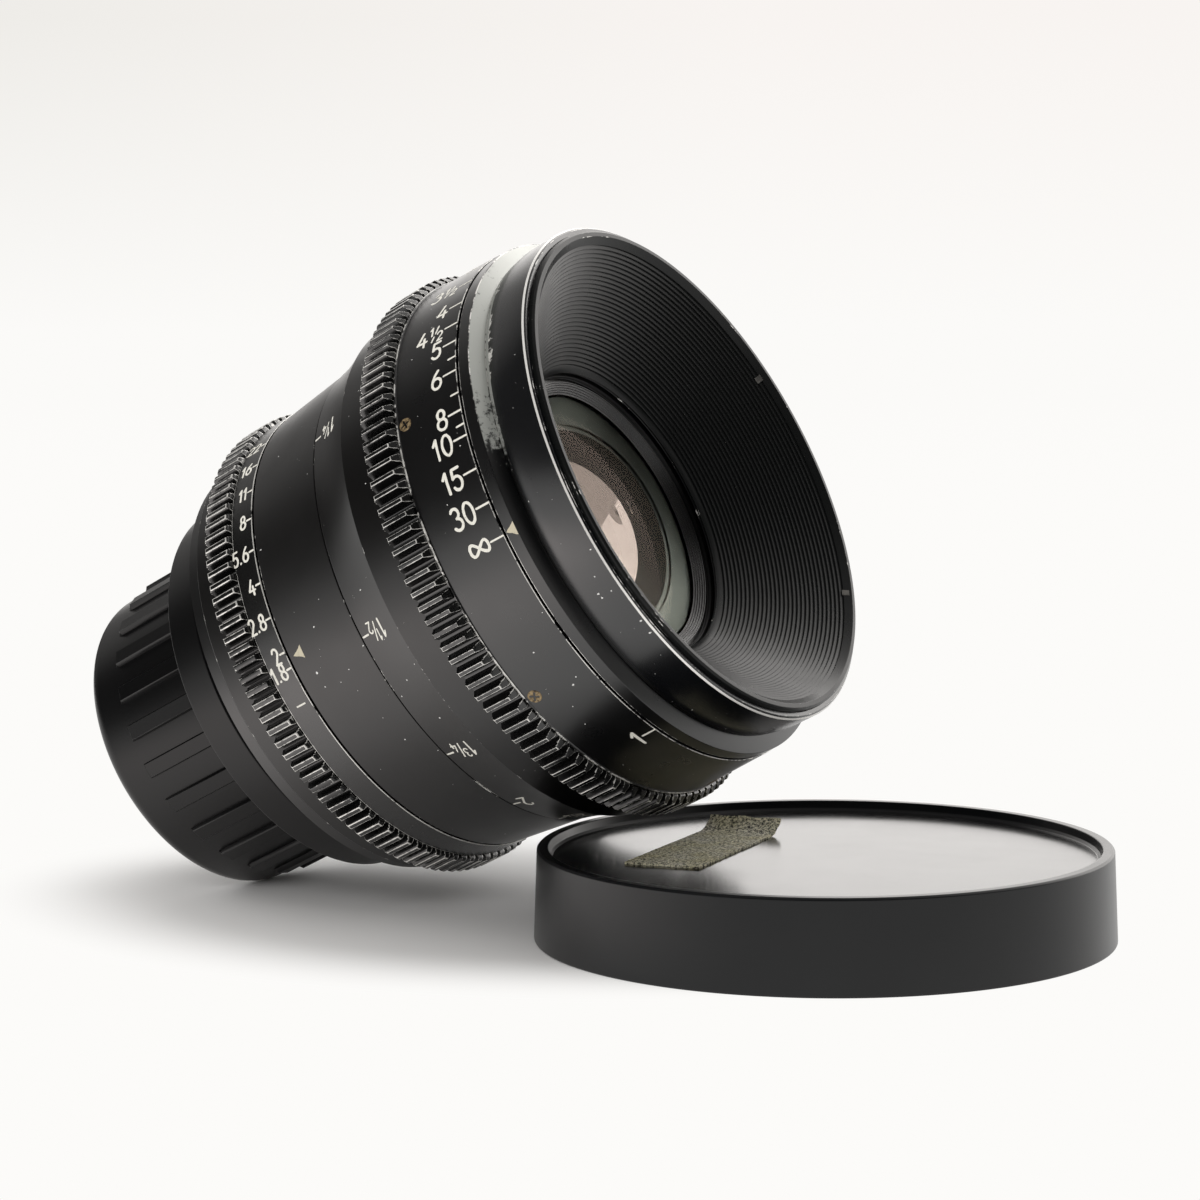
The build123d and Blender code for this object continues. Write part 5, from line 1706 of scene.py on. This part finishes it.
@dataclass
class TapeStrip:
    """Short strip of cloth tape stuck to the cap's face, one end lifted."""

    axis: UprightAxis
    face: float = 14.0
    shift: Point = (-21.2, -3.5)
    length: float = 39.0
    width: float = 13.6
    turn: float = 94.6
    thickness: float = 0.32
    seed: int = 5

    def build(self) -> None:
        """Build the strip."""
        hand = random.Random(self.seed)
        mould = Mould("tape_strip")
        angle = math.radians(self.turn)
        along, across = Vector((math.cos(angle), math.sin(angle))), Vector((-math.sin(angle), math.cos(angle)))
        rows, cols = 46, 16
        ragged = [hand.uniform(-0.08, 0.08) for _ in range(rows + cols + 2)]
        sides = []
        for lift in (0.0, self.thickness):
            grid = []
            for i in range(rows + 1):
                row = []
                for j in range(cols + 1):
                    u = (i / rows - 0.5) * self.length
                    v = (j / cols - 0.5) * self.width
                    if i in (0, rows):
                        u += ragged[j] * 1.6
                    if j in (0, cols):
                        v += ragged[cols + 1 + i]
                    rise = max(0.0, u - self.length * 0.38) ** 1.5 * 0.22
                    ripple = 0.06 * math.sin(u * 1.7) * math.sin(v * 0.9 + 1)
                    flat = along * u + across * v + Vector(self.shift)
                    height = self.face + 0.02 + lift + max(0.0, rise + ripple * lift / self.thickness)
                    row.append(mould.point(self.axis.foot + Vector((flat.x, flat.y, height)) * MM))
                grid.append(row)
            sides.append(grid)
        low, high = sides
        for grid in sides:
            for first, second in zip(grid, grid[1:]):
                mould.bridge(first, second, closed=False)
        for edge_low, edge_high in (
            (low[0], high[0]),
            (low[-1], high[-1]),
            ([r[0] for r in low], [r[0] for r in high]),
            ([r[-1] for r in low], [r[-1] for r in high]),
        ):
            mould.bridge(edge_low, edge_high, closed=False)
        mould.piece("front_cap", Slot.TAPE, [TAPE_FACE], ["cap_tape"])


@dataclass(frozen=True)
class Softbox:
    """Soft-edged patch of light on the surround, seen only in what mirrors it.

    Its azimuth runs from +X towards +Y, and its sizes are half angles; all in degrees.
    """

    azimuth: float
    height: float
    half_width: float
    half_height: float
    level: float
    edge: float = 8.0

    def add(self, tree: bpy.types.NodeTree, way: bpy.types.NodeSocket) -> bpy.types.NodeSocket:
        """Add the patch to a world's nodes.

        Args:
            tree: Node tree of the world.
            way: Socket with the direction looked in.

        Returns:
            Socket with the patch's light in that direction.
        """
        a, e = math.radians(self.azimuth), math.radians(self.height)
        centre = Vector((math.cos(a) * math.cos(e), math.sin(a) * math.cos(e), math.sin(e)))
        side = Vector((-math.sin(a), math.cos(a), 0.0))
        ahead = add_node(tree, "ShaderNodeVectorMath", {0: way, 1: tuple(centre)}, operation="DOT_PRODUCT")
        shares = []
        for direction, half in ((side, self.half_width), (centre.cross(side), self.half_height)):
            across = add_node(tree, "ShaderNodeVectorMath", {0: way, 1: tuple(direction)}, operation="DOT_PRODUCT")
            angle = add_node(
                tree, "ShaderNodeMath", {0: across.outputs["Value"], 1: ahead.outputs["Value"]}, operation="ARCTAN2"
            )
            off = add_node(tree, "ShaderNodeMath", {0: angle.outputs[0]}, operation="ABSOLUTE")
            share = add_node(
                tree,
                "ShaderNodeMapRange",
                {
                    "Value": off.outputs[0],
                    "From Min": math.radians(half + self.edge),
                    "From Max": math.radians(max(half - self.edge, 0.0)),
                },
                interpolation_type="SMOOTHSTEP",
            )
            shares.append(share.outputs[0])
        both = add_node(tree, "ShaderNodeMath", {0: shares[0], 1: shares[1]}, operation="MULTIPLY")
        return add_node(tree, "ShaderNodeMath", {0: both.outputs[0], 1: self.level}, operation="MULTIPLY").outputs[0]


@dataclass
class Studio:
    """Pale paper floor, soft lamps, a bright surround and the camera."""

    cap_foot: Vector
    eye: tuple[float, float, float] = (214.2, -466.6, 105.05)
    yaw: float = 28.94
    pitch: float = -5.208
    roll: float = 0.438
    focal_share: float = 2.5
    paper: str = "F9F8F7"
    near_glow: str = "FCFBF9"
    horizon: str = "FBFAF8"
    # Backdrop colours at the top, darker on the left: painted shade.
    top_right: str = "F8F4F1"
    top_left: str = "EEECE8"
    room: float = 0.027
    fill: float = 0.55
    # Painted reflection: how bright a glowing patch on the paper is for mirrored rays, and where it sits.
    painted_reflection_glow: float = 1.1
    painted_reflection_spot: tuple[float, float, float] = (-0.1, -0.15, 0.0)
    softboxes: tuple[Softbox, ...] = (
        Softbox(103.0, 18.0, 33.0, 27.0, 1.9, 9.0),
        Softbox(93.0, 43.0, 16.0, 13.0, 1.9, 9.0),
        Softbox(60.0, 22.0, 18.0, 24.0, 1.6, 5.0),
        Softbox(161.0, 25.0, 22.0, 14.0, 0.42, 10.0),
        Softbox(-152.0, 18.0, 30.0, 20.0, 0.05, 12.0),
        Softbox(7.0, 22.0, 11.0, 15.0, 0.5, 6.0),
        Softbox(46.0, 59.0, 20.0, 11.0, 0.9, 7.0),
        Softbox(180.0, 86.0, 30.0, 30.0, 0.25, 14.0),
    )

    def build(self) -> None:
        """Set up everything round the object."""
        self.floor()
        self.world()
        self.lamps()
        self.camera()
        bpy.context.scene.view_settings.view_transform = "Standard"

    def floor(self) -> None:
        """Lay the paper, as bright as the surround away from the object, with a painted reflection in front: a glowing
        patch that only mirrored rays see.
        """
        bpy.ops.mesh.primitive_circle_add(vertices=96, radius=9.0, fill_type="NGON", location=(0, 0, -0.0001))
        paper = bpy.context.object
        paper.name = "paper_floor"
        material, tree = blank_material("pale_background_paper")
        place = add_node(tree, "ShaderNodeTexCoord").outputs["Object"]
        squeezed = add_node(
            tree, "ShaderNodeVectorMath", {0: place, 1: (1.0, 1.4, 0.0), 2: (0.02, 0.0, 0.0)}, operation="MULTIPLY_ADD"
        )
        far = add_node(tree, "ShaderNodeVectorMath", {0: squeezed.outputs[0]}, operation="LENGTH")
        spans = ((0.062, 0.105), (0.7, 6.0))
        fades = [
            add_node(
                tree,
                "ShaderNodeMapRange",
                {"Value": far.outputs["Value"], "From Min": near, "From Max": away},
                interpolation_type="SMOOTHSTEP",
            )
            for near, away in spans
        ]
        shade = add_node(
            tree,
            "ShaderNodeMix",
            {0: fades[1].outputs[0], 6: linear(self.near_glow), 7: linear(self.horizon)},
            data_type="RGBA",
        )
        diffuse = add_node(tree, "ShaderNodeBsdfDiffuse", {"Color": linear(self.paper)})
        glow = add_node(tree, "ShaderNodeEmission", {"Color": shade.outputs[2], "Strength": 1.0})
        mix = add_node(
            tree, "ShaderNodeMixShader", {0: fades[0].outputs[0], 1: diffuse.outputs[0], 2: glow.outputs[0]}
        )
        # Painted reflection: a glowing patch in front of the lens that only glossy rays see, so it shows in the lens
        # and lights nothing.
        off = add_node(tree, "ShaderNodeVectorMath", {0: place, 1: self.painted_reflection_spot}, operation="DISTANCE")
        front = add_node(
            tree,
            "ShaderNodeMapRange",
            {"Value": off.outputs["Value"], "From Min": 0.16, "From Max": 0.02, "To Max": self.painted_reflection_glow},
            interpolation_type="SMOOTHSTEP",
        )
        path = add_node(tree, "ShaderNodeLightPath")
        extra = add_node(
            tree, "ShaderNodeMath", {0: path.outputs["Is Glossy Ray"], 1: front.outputs[0]}, operation="MULTIPLY"
        )
        painted_reflection = add_node(tree, "ShaderNodeEmission", {"Color": linear("FDF1ED"), "Strength": extra.outputs[0]})
        both = add_node(tree, "ShaderNodeAddShader", {0: mix.outputs[0], 1: painted_reflection.outputs[0]})
        add_node(tree, "ShaderNodeOutputMaterial", {"Surface": both.outputs[0]})
        paper.data.materials.append(material)

    def world(self) -> None:
        """Surround the object: even light for matt faces, softboxes for mirrored rays, paper white behind, darker
        upward and to the left as painted shade.
        """
        world = bpy.data.worlds.new("soft_surround")
        bpy.context.scene.world = world
        world.use_nodes = True
        world.cycles.sampling_method = "NONE"
        tree = world.node_tree
        tree.nodes.clear()
        way = add_node(tree, "ShaderNodeTexCoord").outputs["Generated"]
        level = add_node(tree, "ShaderNodeMath", {0: self.room, 1: 0.0}, operation="ADD").outputs[0]
        for softbox in self.softboxes:
            level = add_node(tree, "ShaderNodeMath", {0: level, 1: softbox.add(tree, way)}, operation="ADD").outputs[0]
        mirrored = add_node(tree, "ShaderNodeBackground", {"Color": linear("FAF7F4"), "Strength": level})
        even = add_node(tree, "ShaderNodeBackground", {"Color": linear("FDFBF8"), "Strength": self.fill})
        # Painted shade on the backdrop: seen straight, it darkens a little upward, and more so upward on the left.
        left = Vector((-math.cos(math.radians(self.yaw)), -math.sin(math.radians(self.yaw)), 0.0))
        leftward = add_node(tree, "ShaderNodeVectorMath", {0: way, 1: tuple(left)}, operation="DOT_PRODUCT")
        rise = add_node(tree, "ShaderNodeSeparateXYZ", {0: way}).outputs[2]
        share_left = add_node(
            tree, "ShaderNodeMapRange", {"Value": leftward.outputs["Value"], "From Min": -0.05, "From Max": 0.2}
        )
        share_up = add_node(tree, "ShaderNodeMapRange", {"Value": rise, "From Min": 0.0, "From Max": 0.1})
        top = add_node(
            tree,
            "ShaderNodeMix",
            {0: share_left.outputs[0], 6: linear(self.top_right), 7: linear(self.top_left)},
            data_type="RGBA",
        )
        shown = add_node(
            tree, "ShaderNodeMix", {0: share_up.outputs[0], 6: linear(self.horizon), 7: top.outputs[2]}, data_type="RGBA"
        )
        seen = add_node(tree, "ShaderNodeBackground", {"Color": shown.outputs[2], "Strength": 1.0})
        path = add_node(tree, "ShaderNodeLightPath")
        sharp = add_node(
            tree, "ShaderNodeMath", {0: path.outputs["Is Glossy Ray"], 1: path.outputs["Is Transmission Ray"]}, operation="MAXIMUM"
        )
        unseen = add_node(tree, "ShaderNodeMixShader", {0: sharp.outputs[0], 1: even.outputs[0], 2: mirrored.outputs[0]})
        mix = add_node(
            tree, "ShaderNodeMixShader", {0: path.outputs["Is Camera Ray"], 1: unseen.outputs[0], 2: seen.outputs[0]}
        )
        add_node(tree, "ShaderNodeOutputWorld", {"Surface": mix.outputs[0]})

    def lamp(self, name: str, azimuth: float, height: float, distance: float, size: Point, power: float) -> None:
        """Hang a soft lamp that faces the lens.

        Args:
            name: Name of the lamp.
            azimuth: Angle from +X towards +Y in the frame.
            height: Angle above the horizon.
            distance: Distance from the origin in metres.
            size: Width and height in metres.
            power: Power in watts.
        """
        lamp = bpy.data.lights.new(name, "AREA")
        lamp.shape = "RECTANGLE"
        lamp.size, lamp.size_y = size
        lamp.energy = power
        a, e = math.radians(azimuth), math.radians(height)
        spot = Vector((math.cos(a) * math.cos(e), math.sin(a) * math.cos(e), math.sin(e))) * distance
        holder = bpy.data.objects.new(name, lamp)
        bpy.context.scene.collection.objects.link(holder)
        holder.location = spot + Vector((0, 0, 0.06))
        holder.rotation_mode = "QUATERNION"
        holder.rotation_quaternion = (-spot).to_track_quat("-Z", "Y")
        holder.visible_glossy = False
        holder.visible_camera = False

    def lamps(self) -> None:
        """Hang the lamps: one behind on the right, one overhead on the left."""
        self.lamp("lamp_behind_right", 62.0, 40.0, 1.3, (0.9, 0.7), 4.0)
        self.lamp("lamp_overhead", 40.0, 74.0, 1.3, (0.9, 0.9), 3.0)
        self.lamp("lamp_left", 178.0, 22.0, 1.3, (0.9, 0.6), 4.5)
        self.lamp("lamp_front", -78.0, 26.0, 1.4, (1.0, 0.6), 4.5)

    def camera(self) -> None:
        """Place the camera at the photograph's point of view."""
        lens = bpy.data.cameras.new("photo_camera")
        lens.sensor_width = 36.0
        lens.lens = lens.sensor_width * self.focal_share
        lens.clip_start = 0.01
        holder = bpy.data.objects.new("photo_camera", lens)
        bpy.context.scene.collection.objects.link(holder)
        turn = (
            Matrix.Rotation(math.radians(self.yaw), 4, "Z")
            @ Matrix.Rotation(math.radians(self.pitch), 4, "X")
            @ Matrix.Rotation(math.radians(self.roll), 4, "Y")
            @ Matrix.Rotation(math.radians(90), 4, "X")
        )
        holder.matrix_world = Matrix.Translation(self.cap_foot + Vector(self.eye) * MM) @ turn
        bpy.context.scene.camera = holder


def knocks(axis: LensAxis) -> list[Chips]:
    """Return the knocks of the barrel, the scale ring and the front ring."""
    barrel, focus, front = MainBarrel(axis), FocusRing(axis), FrontEnd(axis)

    def ring_r_at(x: float) -> float:
        """Return the front ring's radius at a place along it."""
        share = min(max((x - front.ring_rear) / (84.5 - front.ring_rear), 0.0), 1.0)
        return front.ring_rear_r + (front.ring_r - front.ring_rear_r) * share

    return [
        Chips(
            axis, barrel.radius_at, "barrel_knocks", "barrel",
            (
                (33.3, 90.4, 0.3, 1.2), (29.5, 99.4, 0.5, 1.0), (29.6, 103.0, 0.3, 0.8), (33.1, 103.7, 0.2, 1.0),
                (41.1, 99.1, 0.25, 1.4), (26.7, 67.7, 0.2, 2.4), (35.2, 107.0, 0.15, 1.0),
            ),
            (27.0, 41.0, 26), seed=41,
        ),
        Chips(
            axis, focus.skirt_r_at, "skirt_knocks", "focus_ring",
            ((46.2, 88.9, 0.3, 1.3), (49.7, 107.2, 0.25, 1.0), (45.8, 109.6, 0.3, 1.0), (46.8, 119.8, 0.25, 1.5), (42.6, 112.3, 0.3, 0.7)),
            (42.5, 56.5, 30), seed=42,
        ),
        Chips(
            axis, focus.scale_r_at, "scale_knocks", "focus_ring",
            ((70.7, 115.9, 0.3, 1.2), (72.6, 125.5, 0.35, 1.3), (74.0, 124.3, 0.3, 1.0), (68.9, 134.5, 0.25, 1.0), (69.6, 83.4, 0.2, 1.0), (76.2, 109.9, 0.2, 1.0)),
            (65.0, 76.6, 30), seed=43,
        ),
        Chips(
            axis, ring_r_at, "front_ring_knocks", "barrel",
            (
                (86.7, 109.0, 0.32, 1.0), (85.5, 112.4, 0.35, 1.3), (85.7, 113.5, 0.4, 1.0), (87.8, 113.1, 0.25, 1.2),
                (88.9, 121.4, 0.3, 2.0), (88.8, 124.6, 0.3, 2.2), (88.7, 104.0, 0.22, 2.0), (82.4, 89.8, 0.3, 0.7),
            ),
            (81.6, 89.0, 26), seed=44,
        ),
    ]


def main() -> None:
    """Build the lens round its frame."""
    logging.basicConfig(level=logging.INFO, format="%(name)s: %(message)s")
    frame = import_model()
    mounts = {mount["name"]: mount for mount in frame["record"]["mounts"]}
    seat = mounts["camera_mount"]
    axis = LensAxis(Vector(seat["pos_m"]), -Vector(seat["axis"]).normalized())
    bore = mounts["front_cap_bore"]["pos_m"]
    upright = UprightAxis(Vector((bore[0], bore[1], 0.0)))
    Mechanism(frame).dress()
    for part in (
        RearCap(axis),
        RearHousing(axis),
        IrisRing(axis),
        MainBarrel(axis),
        FocusRing(axis),
        FrontEnd(axis),
        FrontOptics(axis),
        *knocks(axis),
        FrontCap(upright),
        TapeStrip(upright),
        Studio(upright.foot),
    ):
        part.build()
        log.info("built %s", type(part).__name__)


if __name__ == "__main__":
    main()
